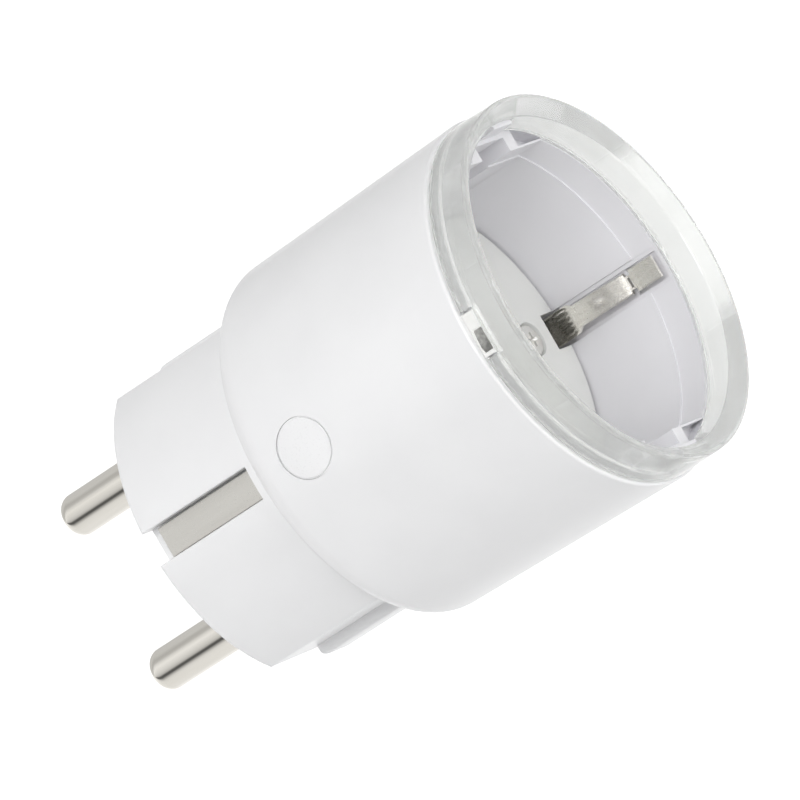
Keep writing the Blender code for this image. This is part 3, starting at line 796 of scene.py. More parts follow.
@dataclass
class PushButton:
    """The round push button: a faintly crowned cap with a flange inside the wall."""

    radius: float = 3.2
    face: float = 21.12
    skirt: float = 3.34
    flange: float = 4.2
    flange_thickness: float = 0.5
    groove_depth: float = 0.22
    crown: float = 0.12
    edge: float = 0.10

    def build(self) -> None:
        """Build the button and put it in place."""
        inner = -(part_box("button")[1] / MM).y
        outer = inner + self.flange_thickness
        rim = self.face - self.crown
        groove = rim - self.groove_depth
        top = self.radius - self.edge
        profile = [(0.0, inner), (self.flange, inner), (self.flange, outer), (self.skirt, outer),
                   (self.skirt, groove), (self.radius, groove),
                   *arc((top, rim - self.edge), self.edge, 0.0, QUARTER, 5)]
        shares = [1 - i / 8 for i in range(1, 9)]
        profile += [(top * share, self.face - self.crown * share ** 2) for share in shares]
        cap = make("button_cap", rod(profile, (0, 0, BUTTON_HEIGHT), FORWARD, 128))
        fit(polish(cap, Paint.BUTTON), Body.BUTTON, "button")


# --- clear ring and its light


@dataclass
class LightRing:
    """The clear ring round the socket's mouth, with its light pocket and snap notches."""

    rim: float = 53.5
    outer_top: float = 21.38
    outer_foot: float = 21.52
    foot: float = 48.4
    seat: float = 49.3
    inner: float = 19.3
    bore: float = 20.35
    draft: float = 0.15
    slope_depth: float = 1.3
    slope_width: float = 1.6
    window_half: float = 2.75
    pocket_in: float = 20.0
    pocket_out: float = 21.2
    pocket_top: float = 50.1
    window_in: float = 21.1
    window_top: float = 49.9
    notch_half: float = 2.3
    notch_in: float = 18.5
    notch_out: float = 20.45
    notch_top: float = 51.7

    def profile(self) -> list[Point]:
        """The ring's turned section.

        Returns:
            Its points.
        """
        return rounded([(self.outer_top, self.rim, 0.4), (self.outer_foot, self.foot, 0.15),
                        (self.bore, self.foot, 0.08), (self.bore, self.seat, 0.1),
                        (self.inner, self.seat, 0.12),
                        (self.inner + self.draft, self.rim - self.slope_depth, 0.5),
                        (self.inner + self.slope_width, self.rim, 0.15)], 8)

    def build(self) -> None:
        """Build the ring and put it in place."""
        ring = make("ring_moulding", lathe(self.profile()))
        half, low = self.window_half, self.foot - OVER
        cuts = [block((-half, -self.pocket_out, low), (half, -self.pocket_in, self.pocket_top)),
                block((-half, -BEYOND, low), (half, -self.window_in, self.window_top))]
        cuts += [block((sign * self.notch_in, -self.notch_half, self.foot),
                       (sign * self.notch_out, self.notch_half, self.notch_top))
                 for sign in (-1, 1)]
        combine(ring, cuts)
        fit(polish(ring, Paint.RING), Body.PLUG, "light_ring")


@dataclass
class RingLight:
    """The strip light in the ring's pocket and the thin flex that feeds it."""

    strip_low: Point3 = (-2.5, -20.95, 48.12)
    strip_high: Point3 = (2.5, -20.6, 49.8)
    dish_left: float = -0.8
    dish_right: float = 2.3
    dish_low: float = 48.22
    dish_high: float = 49.66
    dish_corner: float = 0.1
    middle: Point = (0.8, 48.93)

    def layer(self, y: float, across: float, up: float, shift: float = 0.0) -> list[Point3]:
        """The dish's outline at one depth, drawn in towards its middle.

        Args:
            y: The depth.
            across: Its share of the whole width.
            up: Its share of the whole height.
            shift: How far it is moved along X.

        Returns:
            Its points.
        """
        corners = [(self.dish_left, self.dish_low), (self.dish_right, self.dish_low),
                   (self.dish_right, self.dish_high), (self.dish_left, self.dish_high)]
        outline = rounded([(x, z, self.dish_corner) for x, z in corners], 4)
        mid_x, mid_z = self.middle
        return [(mid_x + shift + (x - mid_x) * across, y, mid_z + (z - mid_z) * up)
                for x, z in outline]

    def build(self) -> None:
        """Build the light, its lens and its flex, and put them in place."""
        strip = make("light_strip", block(self.strip_low, self.strip_high))
        combine(strip, [loft([self.layer(-21.1, 1.0, 1.0), self.layer(-20.78, 0.8, 0.7)])])
        soften(strip, 0.04)
        fit(polish(strip, Paint.LAMP), Body.PLUG, "ring_led")
        lens = make("light_lens", loft([self.layer(-20.80, 0.92, 0.9),
                                        self.layer(-20.97, 0.12, 0.8, 0.3)]))
        polish(lens, Paint.LENS)
        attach(lens, Body.PLUG.value)
        refine("led_flex", Body.PLUG, Paint.FLEX, 0.02)


# --- the socket


@dataclass
class Socket:
    """The socket's wall and its floor."""

    radius: float = 19.1
    flat: float = 16.6
    outer: float = 19.95
    low: float = 31.3
    top: float = 49.0
    step_height: float = 45.75
    keyway_half: float = 3.0
    keyway_out: float = 18.4
    channel_half: float = 2.05
    channel_step: float = 19.25
    relief_half: float = 1.6
    channel_back: float = 19.7
    window_half: float = 1.55
    window_low: float = 44.2
    window_high: float = 45.5
    pocket_floor: float = 47.4
    pocket_reach: float = 19.6
    floor_top: float = 34.46
    floor_thickness: float = 2.0
    tab_top: float = 51.5
    tab_foot: float = 47.8
    tab_shoulder: float = 50.6
    tab_half: float = 1.9
    tab_in: float = 18.75
    tab_out: float = 20.1
    tab_tip_in: float = 18.95
    tab_tip_out: float = 19.6
    step_out: float = 0.18
    step_flat: float = 0.15
    keyway_in: float = 15.0
    channel_in: float = 17.8
    channel_top: float = 48.6
    foot_top: float = 35.06
    pocket_wall: float = 16.96
    pocket_start: float = 4.9
    floor_gap: float = 0.3
    floor_slot_in: float = 16.1
    hole_radius: float = 3.0
    funnel_radius: float = 3.75
    funnel_depth: float = 0.7
    screw_way: float = 1.5
    screw_seat: float = 2.0
    screw_depth: float = 1.1

    def pocket(self, sign: int, side: int) -> Solid:
        """The hollow behind one flat, beside the keyway.

        Args:
            sign: The flat, as the sign of X.
            side: Which end of it, as the sign of Y.

        Returns:
            The cutter.
        """
        reach = self.pocket_reach
        first = math.asin(self.pocket_start / reach)
        span = math.acos(self.pocket_wall / reach) - first
        outline = [(self.pocket_wall, self.pocket_start),
                   *arc((0.0, 0.0), reach, first, span, 10)]
        return prism([(sign * x, side * y) for x, y in outline], self.pocket_floor,
                     self.top + OVER)

    def side_cuts(self, sign: int) -> list[Solid]:
        """What is cut on one side: keyway, pockets, and the clip's channel and window.

        Args:
            sign: The side, as the sign of X for the keyway and of Y for the channel.

        Returns:
            The cutters.
        """
        low, near, far = self.low - OVER, sign * self.channel_in, sign * BEYOND
        cuts = [block((sign * self.keyway_in, -self.keyway_half, self.floor_top),
                      (sign * self.keyway_out, self.keyway_half, self.top + OVER)),
                self.pocket(sign, -1), self.pocket(sign, 1)]
        for half, back, bottom, top in (
                (self.channel_half, sign * self.channel_step, low, self.channel_top),
                (self.relief_half, sign * self.channel_back, low, self.channel_top),
                (self.channel_half, far, low, self.foot_top),
                (self.window_half, far, self.window_low, self.window_high)):
            cuts.append(block((-half, near, bottom), (half, back, top)))
        return cuts

    def tab(self, sign: int) -> Solid:
        """One snap tab on the wall's top.

        Args:
            sign: The side, as the sign of X.

        Returns:
            The tab.
        """
        outline = rounded([(sign * self.tab_in, self.tab_foot, 0),
                           (sign * self.tab_out, self.tab_foot, 0),
                           (sign * self.tab_out, self.tab_shoulder, 0.1),
                           (sign * self.tab_tip_out, self.tab_top, 0.15),
                           (sign * self.tab_tip_in, self.tab_top, 0.15)], 3)
        return prism(outline, -self.tab_half, self.tab_half, Plane.XZ)

    def build_wall(self) -> None:
        """Build the wall with its flats, keyways, pockets, channels and snap tabs."""
        profile = rounded([(self.outer, self.top, 0.12), (self.outer, self.low, 0.1),
                           (0.0, self.low, 0.0), (0.0, self.top, 0.0)], 3)
        wall = make("socket_wall", lathe(profile))
        step = flatted(self.radius + self.step_out, self.flat + self.step_flat)
        combine(wall, [prism(flatted(self.radius, self.flat), self.low - OVER, self.top + OVER),
                       prism(step, self.step_height, self.top + OVER),
                       *self.side_cuts(-1), *self.side_cuts(1)])
        combine(wall, [self.tab(-1), self.tab(1)], "UNION")
        soften(wall, 0.06, 2, 50)
        fit(polish(wall, Paint.WALL), Body.PLUG, "socket_sleeve")

    def build_floor(self) -> None:
        """Build the floor with its funnelled pin holes, screw seats and clip slots."""
        top = self.floor_top
        low = top - self.floor_thickness
        edge = flatted(self.radius - self.floor_gap, self.flat - self.floor_gap)
        floor = make("socket_base", prism(edge, low, top))
        under, over, ledge = low - OVER, top + OVER, top - self.screw_depth
        funnel = rounded([(0.0, under, 0), (self.hole_radius, under, 0),
                          (self.hole_radius, top - self.funnel_depth, 0.3),
                          (self.funnel_radius, top - 0.05, 0.2),
                          (self.funnel_radius + 0.35, top + 0.3, 0), (0.0, top + 0.3, 0)], 3)
        seat = [(0.0, under), (self.screw_way, under), (self.screw_way, ledge),
                (self.screw_seat, ledge), (self.screw_seat, over), (0.0, over)]
        cuts = []
        for sign in (-1, 1):
            cuts.append(lathe(funnel, 96, (sign * PIN_OFFSET, 0.0)))
            cuts.append(lathe(seat, 64, (0.0, sign * SCREW_OFFSET)))
            cuts.append(block((-self.channel_half, sign * self.floor_slot_in, under),
                              (self.channel_half, sign * BEYOND, over)))
        combine(floor, cuts)
        soften(floor, 0.08, 2, 50)
        fit(polish(floor, Paint.FLOOR), Body.PLUG, "socket_floor")

    def build(self) -> None:
        """Build the wall and the floor."""
        self.build_wall()
        self.build_floor()


@dataclass
class EarthClip:
    """A bowed spring leaf with a dimple, a waist at its bend and an end tab."""

    side: Side
    knots: tuple[Point, ...] = (
        (18.2, 31.2), (18.2, 34.0), (17.9, 35.4), (17.3, 37.3), (17.2, 38.2), (17.4, 40.0),
        (17.75, 42.0), (18.15, 43.6), (18.42, 44.5), (18.5, 44.95), (18.35, 45.5),
        (18.3, 46.2), (18.35, 48.4))
    half: float = 1.25
    foot_half: float = 1.7
    foot_top: float = 36.9
    foot_ramp: float = 0.8
    waist: float = 0.8
    tab_half: float = 1.3
    thickness: float = 0.42
    edge_ease: float = 0.07
    edge_share: float = 0.1
    dimple_height: float = 40.0
    dimple_half: float = 0.8
    dimple_length: float = 1.5
    dimple_depth: float = 0.14
    bend_height: float = 44.75
    notch: float = 0.36
    slot_half: float = 0.58
    slot_high: float = 0.13
    cut_half: float = 1.6
    cut_in: float = 17.5
    cut_out: float = 19.3
    ribs: int = 6
    rib_start: float = 34.6
    rib_depth: float = 0.05
    rib_fades: Point = (0.4, 0.6)
    along: int = 14
    across: int = 40

    def half_width(self, z: float) -> float:
        """The leaf's half width at a height.

        Args:
            z: The height.

        Returns:
            The half width.
        """
        if z < self.foot_top:
            return self.foot_half
        ramp = self.foot_top + self.foot_ramp
        if z < ramp:
            return self.half + (self.foot_half - self.half) * (ramp - z) / self.foot_ramp
        return self.half if z < self.bend_height else self.tab_half

    def dent(self, x: float, z: float) -> float:
        """How far the dimple and the foot's ribs push the leaf towards the socket's axis.

        Args:
            x: The place across the leaf.
            z: The height.

        Returns:
            The push.
        """
        if self.rib_start < z < self.foot_top:
            wave = math.cos(math.pi * self.ribs * x / self.foot_half)
            low_fade, high_fade = self.rib_fades
            ends = min((z - self.rib_start) / low_fade, (self.foot_top - z) / high_fade, 1.0)
            return self.rib_depth * wave * ends
        reach = math.hypot(x / self.dimple_half, (z - self.dimple_height) / self.dimple_length)
        return self.dimple_depth * (1 - reach ** 2) ** 2 if reach < 1 else 0.0

    def section(self, here: Point, out: Vector) -> list[Point3]:
        """The leaf's closed section at one place along it.

        Args:
            here: The place, as a distance from the plug axis and a height.
            out: The way square to the leaf, away from the axis.

        Returns:
            Its points, along the near face and back along the far one.
        """
        half = self.half_width(here[1])
        near, far = [], []
        for j in range(self.across + 1):
            x = half * (2 * j / self.across - 1)
            past = max(0.0, abs(x) / half - (1 - self.edge_share))
            deep = self.thickness / 2 - self.edge_ease * past / self.edge_share
            middle = Vector((here[0] - self.dent(x, here[1]), here[1]))
            for face, point in ((near, middle - out * deep), (far, middle + out * deep)):
                face.append((x, self.side.value * point.x, point.y))
        return near + far[::-1]

    def build(self) -> None:
        """Build the clip and put it in place."""
        path = smooth_path(self.knots, self.along)
        sections = []
        for before, here, after in zip([path[0], *path], path, [*path[1:], path[-1]]):
            along = (Vector(after) - Vector(before)).normalized()
            sections.append(self.section(here, Vector((along.y, -along.x))))
        leaf = make("spring_leaf", loft(sections))
        near, far = self.side.value * self.cut_in, self.side.value * self.cut_out
        combine(leaf, [block((x0, near, self.bend_height - high),
                             (x1, far, self.bend_height + high))
                       for x0, x1, high in ((-self.cut_half, -self.waist, self.notch),
                                            (self.waist, self.cut_half, self.notch),
                                            (-self.slot_half, self.slot_half, self.slot_high))])
        body = Body.CLIP_FRONT if self.side is Side.FRONT else Body.CLIP_BACK
        fit(polish(leaf, Paint.SPRING, 50), body, body.value)


@dataclass
class FloorScrews:
    """The two cross-head screws in the socket's floor, set out by one node tree."""

    head_top: float = 34.44
    head_curve: tuple[Point, ...] = ((0.0, 0.0), (0.9, 0.02), (1.5, 0.1), (1.75, 0.22),
                                     (1.85, 0.38))
    seat: float = 33.66
    shank_radius: float = 1.2
    thread_top: float = 32.66
    thread_foot: float = 24.1
    thread_depth: float = 0.22
    thread_turns: int = 9
    tip: float = 23.2
    tip_radius: float = 0.75
    tip_height: float = 0.25
    arm: float = 1.05
    slot_half: float = 0.22
    cross_depth: float = 0.5
    cross_over: float = 0.2

    def pattern(self) -> Piece:
        """One screw on its own axis at X = Y = 0.

        Returns:
            The screw.
        """
        top = self.head_top
        profile = [(radius, top - drop) for radius, drop in self.head_curve]
        profile += [(profile[-1][0], self.seat), (self.shank_radius, self.seat)]
        steps = self.thread_turns * 2
        for i in range(steps + 1):
            profile.append((self.shank_radius - (self.thread_depth if i % 2 else 0.0),
                            self.thread_top - (self.thread_top - self.thread_foot) * i / steps))
        profile += [(self.tip_radius, self.tip + self.tip_height), (0.0, self.tip)]
        screw = make("screw_pattern", lathe(profile[::-1], 48))
        cuts = []
        for a, b in ((self.arm, self.slot_half), (self.slot_half, self.arm)):
            low, high = quad(a * 0.5, -b * 0.6, a * 0.5, b * 0.6), quad(a, -b, a, b)
            cuts.append(loft([[(x, y, top - self.cross_depth) for x, y in low],
                              [(x, y, top + self.cross_over) for x, y in high]]))
        combine(screw, cuts)
        return polish(screw, Paint.SCREW)

    def build(self) -> None:
        """Set the screws out and put each in place."""
        pattern = self.pattern()
        for side in Side:
            name = f"floor_screw_{side.name.lower()}"
            piece = set_out(name, pattern, (0.0, side.value * SCREW_OFFSET * MM, 0.0), 1,
                            (0.0, 0.0, 0.0), Paint.SCREW)
            fit(piece, Body.PLUG, name)
        bpy.data.objects.remove(pattern, do_unlink=True)


def set_out(name: str, pattern: Piece, start: Point3, count: int, step: Point3,
            finish: Finish) -> Piece:
    """Repeat a pattern piece along a line with Geometry Nodes, and keep the plain mesh.

    Args:
        name: The result's name.
        pattern: The piece that is repeated.
        start: The first copy's place in metres.
        count: How many copies.
        step: The way from one copy to the next, in metres.
        finish: The finish.

    Returns:
        The plain mesh object.
    """
    tree = bpy.data.node_groups.new(f"{name}_row", "GeometryNodeTree")
    face = tree.interface
    face.new_socket("Geometry", in_out="OUTPUT", socket_type="NodeSocketGeometry")
    values = {"Pattern": ("Object", pattern), "Count": ("Int", count), "Start": ("Vector", start),
              "Step": ("Vector", step), "Finish": ("Material", Paint.of(finish))}
    keys = {label: face.new_socket(label, in_out="INPUT",
                                   socket_type=f"NodeSocket{kind}").identifier
            for label, (kind, _) in values.items()}
    given = add_node(tree, "NodeGroupInput").outputs
    line = add_node(tree, "GeometryNodeMeshLine", {
        "Count": given["Count"], "Start Location": given["Start"], "Offset": given["Step"]},
        mode="OFFSET")
    info = add_node(tree, "GeometryNodeObjectInfo", {"Object": given["Pattern"]})
    copies = add_node(tree, "GeometryNodeInstanceOnPoints", {
        "Points": line.outputs["Mesh"], "Instance": info.outputs["Geometry"]})
    real = add_node(tree, "GeometryNodeRealizeInstances", {
        "Geometry": copies.outputs["Instances"]})
    coat = add_node(tree, "GeometryNodeSetMaterial", {
        "Geometry": real.outputs["Geometry"], "Material": given["Finish"]})
    add_node(tree, "NodeGroupOutput", {"Geometry": coat.outputs["Geometry"]})
    obj = bpy.data.objects.new(name, bpy.data.meshes.new(name))
    bpy.context.scene.collection.objects.link(obj)
    modifier = obj.modifiers.new("row", "NODES")
    modifier.node_group = tree
    for label, (_, value) in values.items():
        modifier[keys[label]] = value
    return settle(obj)


# --- pins and earth strips


@dataclass
class Pins:
    """The two round plug pins, each with its collar and tail."""

    radius: float = 2.4
    length: float = 19.0
    tip: float = 1.6
    tail: tuple[Point, ...] = ((0.0, 10.5), (0.85, 10.5), (1.0, 10.35), (1.0, 4.0))
    collar: tuple[Point, ...] = ((3.1, 4.0), (3.2, 3.9), (3.2, 2.6), (3.1, 2.5))
    shank_rings: tuple[float, ...] = (2.5, -0.5, -9.0)

    def profile(self) -> list[Point]:
        """A pin's turned section, from its tail down.

        Returns:
            Its points.
        """
        return [*self.tail, *self.collar, *[(self.radius, z) for z in self.shank_rings],
                *arc((self.radius - self.tip, self.tip - self.length), self.tip, 0.0,
                     -QUARTER, 10), (0.0, -self.length)]

    def build(self) -> None:
        """Build both pins and put them in place."""
        for name, sign in (("line_pin", -1), ("neutral_pin", 1)):
            pin = make(name, lathe(self.profile()[::-1], 96, (sign * PIN_OFFSET, 0.0)))
            fit(polish(pin, Paint.NICKEL), Body.PLUG, name)


@dataclass
class EarthStraps:
    """The two stamped earth straps, whose outer ends are the strips on the nose."""

    half: float = 1.72
    face: float = 17.6
    thickness: float = 0.6
    start: float = 1.0
    top: float = 30.0
    jog_low: float = 18.1
    jog_high: float = 19.6
    leg_in: float = 4.7
    leg_out: float = 7.5
    leg_bevel: float = 1.0
    wedge_over: float = 0.2
    wedge_depth: float = 0.42
    wedge_top: float = 2.6
    wedge_half: float = 3.0

    def build(self) -> None:
        """Build both straps and put them in place."""
        straight = quad(self.half, self.start, self.half, self.top)
        around = [(-self.half, self.start), (self.half, self.start), (self.half, self.jog_low),
                  (self.leg_out - self.leg_bevel, self.jog_low),
                  (self.leg_out, self.jog_low + self.leg_bevel), (self.leg_out, self.top),
                  (self.leg_in, self.top), (self.leg_in, self.jog_high),
                  (-self.half, self.jog_high)]
        front, low = self.face + self.wedge_over, self.start - self.wedge_over
        wedge = [(front, self.wedge_top), (self.face - self.wedge_depth, low), (front, low)]
        for side, outline in ((Side.FRONT, around), (Side.BACK, straight)):
            sign = side.value
            name = f"earth_strap_{side.name.lower()}"
            y0, y1 = sorted((sign * self.face, sign * (self.face - self.thickness)))
            strap = make(name, prism(outline, y0, y1, Plane.XZ))
            combine(strap, [prism([(sign * y, z) for y, z in wedge], -self.wedge_half,
                                  self.wedge_half, Plane.YZ)])
            soften(strap, 0.09, 3)
            fit(polish(strap, Paint.STRIP), Body.PLUG, name)


# --- inner pieces


def refine(node: str, body: Body, finish: Finish, edge: float) -> None:
    """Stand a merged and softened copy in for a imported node.

    Args:
        node: The node.
        body: The body that it rides on.
        finish: Its finish.
        edge: The width of its rounded edges.
    """
    bm = bmesh.new()
    bm.from_mesh(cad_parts[node].data)
    bmesh.ops.remove_doubles(bm, verts=bm.verts, dist=1e-6)
    bmesh.ops.dissolve_limit(bm, angle_limit=math.radians(1.0), verts=bm.verts, edges=bm.edges)
    bmesh.ops.scale(bm, vec=(1 / MM,) * 3, verts=bm.verts)
    piece = make(node, bm)
    soften(piece, edge)
    fit(polish(piece, finish), body, node)


@dataclass
class Windings:
    """The turns of wire round a bobbin."""

    PITCH = 2.05  # wire radii from one turn to the next

    node: str
    centre: Point
    radius: float
    wire: float
    low: float
    high: float

    def build(self) -> None:
        """Wind the wire with Geometry Nodes and put it in place."""
        count = int((self.high - self.low) / (self.wire * self.PITCH))
        step = (self.high - self.low) / count
        turn = circle(self.wire, 8, (self.radius, 0.0))
        pattern = make(f"{self.node}_turn", lathe(turn, 40, self.centre))
        pattern.data.shade_smooth()
        wire = set_out(f"{self.node}_wire", pattern, (0.0, 0.0, (self.low + step / 2) * MM),
                       count, (0.0, 0.0, step * MM), Paint.COPPER)
        bpy.data.objects.remove(pattern, do_unlink=True)
        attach(wire, Body.PLUG.value)
        LOG.info("%s: %d turns", wire.name, count)


class InnerWorks:
    """The boards, relay and power parts that the housing hides."""

    BODIES = {"switch_plunger": Body.PLUNGER, "relay_armature": Body.ARMATURE,
              "relay_contact_blade": Body.BLADE}
    PIECES: tuple[tuple[str, Finish, str, float], ...] = (
        ("pin_carrier", Paint.BLACK, "black_plastic", 0.15),
        ("earth_bridge", Paint.NICKEL, "nickel", 0.06),
        ("line_contact", Paint.BRASS, "brass", 0.05),
        ("neutral_contact", Paint.BRASS, "brass", 0.05),
        ("power_board", Paint.BOARD, "board_green", 0.06),
        ("control_board", Paint.BOARD, "board_green", 0.06),
        ("radio_shield", Paint.STEEL, "steel", 0.05),
        ("board_header", Paint.BLACK, "black_plastic", 0.05),
        ("switch_body", Paint.BLACK, "black_plastic", 0.05),
        ("switch_plunger", Paint.STEEL, "steel", 0.08),
        ("relay_base", Paint.BLACK, "black_plastic", 0.08),
        ("relay_case", Paint.BLACK, "black_plastic", 0.05),
        ("relay_yoke", Paint.STEEL, "steel", 0.06),
        ("relay_coil", Paint.BLACK, "copper_winding", 0.05),
        ("relay_armature", Paint.STEEL, "steel", 0.05),
        ("relay_contact_blade", Paint.BRASS, "brass", 0.03),
        ("relay_fixed_contact", Paint.BRASS, "brass", 0.05),
        ("bulk_capacitor_left", Paint.CAN, "capacitor_sleeve", 0.1),
        ("bulk_capacitor_right", Paint.CAN, "capacitor_sleeve", 0.1),
        ("suppression_capacitor", Paint.FILM, "film_yellow", 0.1),
        ("supply_inductor", Paint.BLACK, "copper_winding", 0.1),
        ("varistor", Paint.VARISTOR, "varistor_blue", 0.1),
        ("fuse_resistor", Paint.CERAMIC, "well_floor", 0.08),
        ("current_shunt", Paint.COPPER, "copper_winding", 0.08),
    )

    def build(self) -> None:
        """Refine every inner piece and wind the coils."""
        for node, finish, slot, edge in self.PIECES:
            refine(node, self.BODIES.get(node, Body.PLUG), finish, edge)
        Windings("relay_coil", (0.0, -4.2), 3.1, 0.11, 13.1, 21.0).build()
        Windings("supply_inductor", (9.4, -8.4), 3.05, 0.16, 11.1, 15.8).build()


# --- stage


@dataclass
class Studio:
    """A pale floor, soft light and the camera."""

    eye: Point3 = (0.11219, -1.05232, 0.66292)
    target: Point3 = (-0.00129, 0.00288, 0.02232)
    roll: float = 56.82
    lens: float = 531.8
    clip_start: float = 0.05
    clip_end: float = 20.0
    floor_height: float = -0.30
    floor_half: float = 3000.0
    floor_glow: float = 0.5
    room_light: float = 0.45
    mirror_light: float = 1.0
    half: float = 0.5
    walls: tuple[Point, ...] = (
        (-180, 0.72), (-160, 0.57), (-146, 0.64), (-136, 0.88), (-120, 1.06), (-102, 0.92),
        (-88, 0.80), (-77, 0.62), (-69, 0.12), (-60, 0.12), (-52, 0.50), (-42, 0.88),
        (-28, 0.97), (0, 1.0), (30, 1.0), (60, 1.16), (105, 1.12), (127, 0.64), (150, 0.70),
        (180, 0.72))
    heights: tuple[Point, ...] = ((0.0, 1.04), (0.55, 1.0), (0.8, 1.1), (1.0, 1.3))

    def axes(self) -> tuple[Vector, Vector, Vector]:
        """The camera's right, up and back.

        Returns:
            The three directions.
        """
        back = (Vector(self.eye) - Vector(self.target)).normalized()
        level = Vector((-back.y, back.x, 0.0)).normalized()
        rise = back.cross(level)
        roll = math.radians(self.roll)
        right = level * math.cos(roll) + rise * math.sin(roll)
        up = rise * math.cos(roll) - level * math.sin(roll)
        return right, up, back

    def camera(self) -> None:
        """Set the camera at its eye, turned to its target and rolled."""
        right, up, back = self.axes()
        data = bpy.data.cameras.new("camera")
        data.lens = self.lens
        data.sensor_width = 36.0
        data.clip_start = self.clip_start
        data.clip_end = self.clip_end
        camera = bpy.data.objects.new("camera", data)
        matrix = Matrix((right, up, back)).transposed().to_4x4()
        matrix.translation = self.eye
        camera.matrix_world = matrix
        bpy.context.scene.collection.objects.link(camera)
        bpy.context.scene.camera = camera

    def lamp(self, name: str, azimuth: float, elevation: float, distance: float, size: float,
             power: float, shine: bool = True) -> None:
        """A soft square light that faces the plug.

        Args:
            name: Its name.
            azimuth: Its direction about the plug axis from +X, in degrees.
            elevation: Its height above the level of the plug, in degrees.
            distance: How far away it stands, in metres.
            size: Its side.
            power: Its power in watts.
            shine: Whether it shows in shiny surfaces.
        """
        turn, rise = math.radians(azimuth), math.radians(elevation)
        way = Vector((math.cos(turn) * math.cos(rise), math.sin(turn) * math.cos(rise),
                      math.sin(rise)))
        data = bpy.data.lights.new(name, "AREA")
        data.shape = "SQUARE"
        data.size = size
        data.energy = power
        lamp = bpy.data.objects.new(name, data)
        lamp.location = Vector(self.target) + way * distance
        lamp.visible_glossy = shine
        lamp.rotation_mode = "QUATERNION"
        lamp.rotation_quaternion = way.to_track_quat("Z", "Y")
        bpy.context.scene.collection.objects.link(lamp)

    def ramp(self, tree: bpy.types.NodeTree, source: bpy.types.NodeSocket,
             bands: Sequence[Point]) -> bpy.types.NodeSocket:
        """A grey ramp through the given levels, halved to stay below one.

        Args:
            tree: The world's node tree.
            source: What the ramp follows.
            bands: Each stop's place from 0 to 1 and its level.

        Returns:
            The colour socket.
        """
        node = add_node(tree, "ShaderNodeValToRGB", {"Fac": source})
        stops = node.color_ramp.elements
        greys = [(place, (*[level * self.half] * 3, 1.0)) for place, level in bands]
        for stop, (place, grey) in zip(stops, (greys[0], greys[-1])):
            stop.position = place
            stop.color = grey
        for place, grey in greys[1:-1]:
            stops.new(place).color = grey
        return node.outputs["Color"]

    def world(self) -> None:
        """A white room whose walls differ round the plug, with one dark gap."""
        world = bpy.data.worlds.new("studio")
        world.use_nodes = True
        tree = world.node_tree
        tree.nodes.clear()
        place = add_node(tree, "ShaderNodeTexCoord")
        parts = add_node(tree, "ShaderNodeSeparateXYZ", {"Vector": place.outputs["Generated"]})
        turn = add_node(tree, "ShaderNodeMath", {0: parts.outputs["Y"], 1: parts.outputs["X"]},
                        operation="ARCTAN2")
        share = add_node(tree, "ShaderNodeMapRange", {
            "Value": turn.outputs["Value"], "From Min": -math.pi, "From Max": math.pi})
        rise = add_node(tree, "ShaderNodeMapRange", {
            "Value": parts.outputs["Z"], "From Min": -1.0})
        walls = self.ramp(tree, share.outputs["Result"], [((degrees + 180) / 360, level)
                                                          for degrees, level in self.walls])
        heights = self.ramp(tree, rise.outputs["Result"], self.heights)
        both = add_node(tree, "ShaderNodeMix", {"Factor": 1.0, "A": walls, "B": heights},
                        data_type="RGBA", blend_type="MULTIPLY")
        ray = add_node(tree, "ShaderNodeLightPath")
        level = add_node(tree, "ShaderNodeMapRange", {
            "Value": ray.outputs["Is Diffuse Ray"], "To Min": self.mirror_light / self.half ** 2,
            "To Max": self.room_light / self.half ** 2})
        room = add_node(tree, "ShaderNodeBackground", {
            "Color": both.outputs["Result"], "Strength": level.outputs["Result"]})
        backdrop = add_node(tree, "ShaderNodeBackground", {"Color": WHITE, "Strength": 1.0})
        mix = add_node(tree, "ShaderNodeMixShader", {
            "Fac": ray.outputs["Is Camera Ray"], 1: room.outputs["Background"],
            2: backdrop.outputs["Background"]})
        add_node(tree, "ShaderNodeOutputWorld", {"Surface": mix.outputs["Shader"]})
        bpy.context.scene.world = world

    def floor(self) -> None:
        """The pale floor well below the plug, which glows but doesn't light it."""
        bm = bmesh.new()
        bmesh.ops.create_grid(bm, x_segments=4, y_segments=4, size=self.floor_half)
        bmesh.ops.translate(bm, vec=(0, 0, self.floor_height / MM), verts=bm.verts)
        floor = make("studio_floor", bm)
        paper = Finish("studio_paper", (0.93, 0.93, 0.93), (0.94, 0.94, 0.94), 0.8,
                       patch_mm=400.0, grain=4.0, grain_mm=3.0, specular=0.2)
        material = paper.build()
        tree = material.node_tree
        ray = add_node(tree, "ShaderNodeLightPath")
        glow = add_node(tree, "ShaderNodeMapRange", {
            "Value": ray.outputs["Is Diffuse Ray"], "To Min": self.floor_glow, "To Max": 0.0})
        feed(tree.nodes["Principled BSDF"], {
            "Emission Color": WHITE, "Emission Strength": glow.outputs["Result"]})
        floor.data.materials.append(material)
        floor.visible_glossy = False

    def build(self) -> None:
        """Set up the whole studio."""
        self.camera()
        self.world()
        self.floor()
        self.lamp("key_light", azimuth=-101.0, elevation=27.0, distance=1.1, size=0.5, power=5.3)
        self.lamp("rim_light", azimuth=40.0, elevation=20.0, distance=1.1, size=0.6, power=1.7)
        self.lamp("mouth_light", azimuth=-50.0, elevation=78.0, distance=0.8, size=0.5,
                  power=2.0, shine=False)
        scene = bpy.context.scene
        scene.view_settings.view_transform = "Standard"
        scene.view_settings.look = "None"


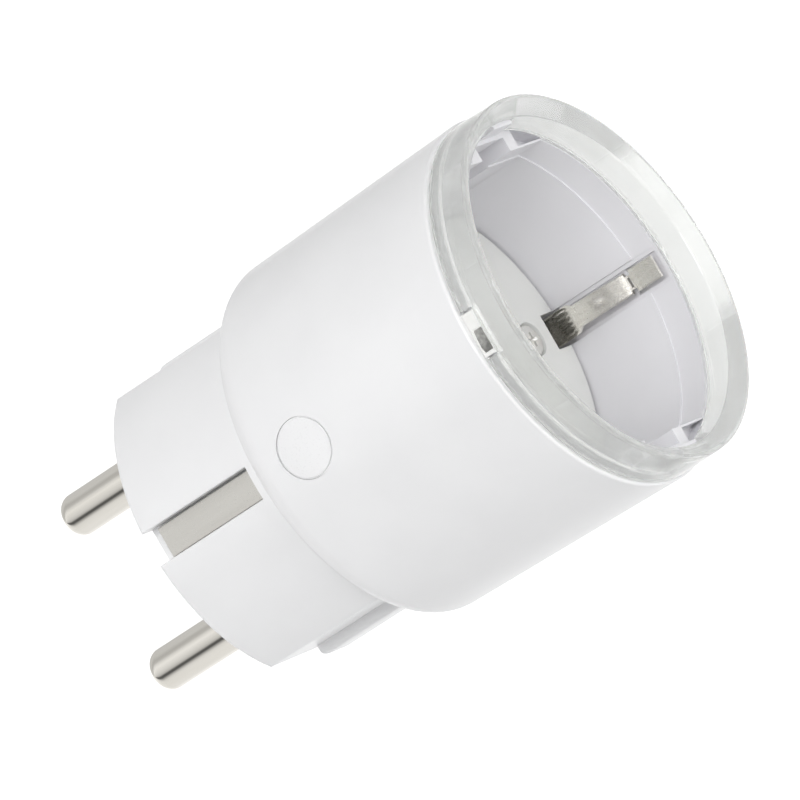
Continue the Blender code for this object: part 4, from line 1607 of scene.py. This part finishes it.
def main() -> None:
    """Build every sub-assembly in order."""
    logging.basicConfig(level=logging.INFO, format="%(name)s: %(message)s")
    Studio().build()
    Housing().build()
    PushButton().build()
    LightRing().build()
    RingLight().build()
    Socket().build()
    for side in Side:
        EarthClip(side).build()
    FloorScrews().build()
    Pins().build()
    EarthStraps().build()
    InnerWorks().build()


if __name__ == "__main__":
    main()
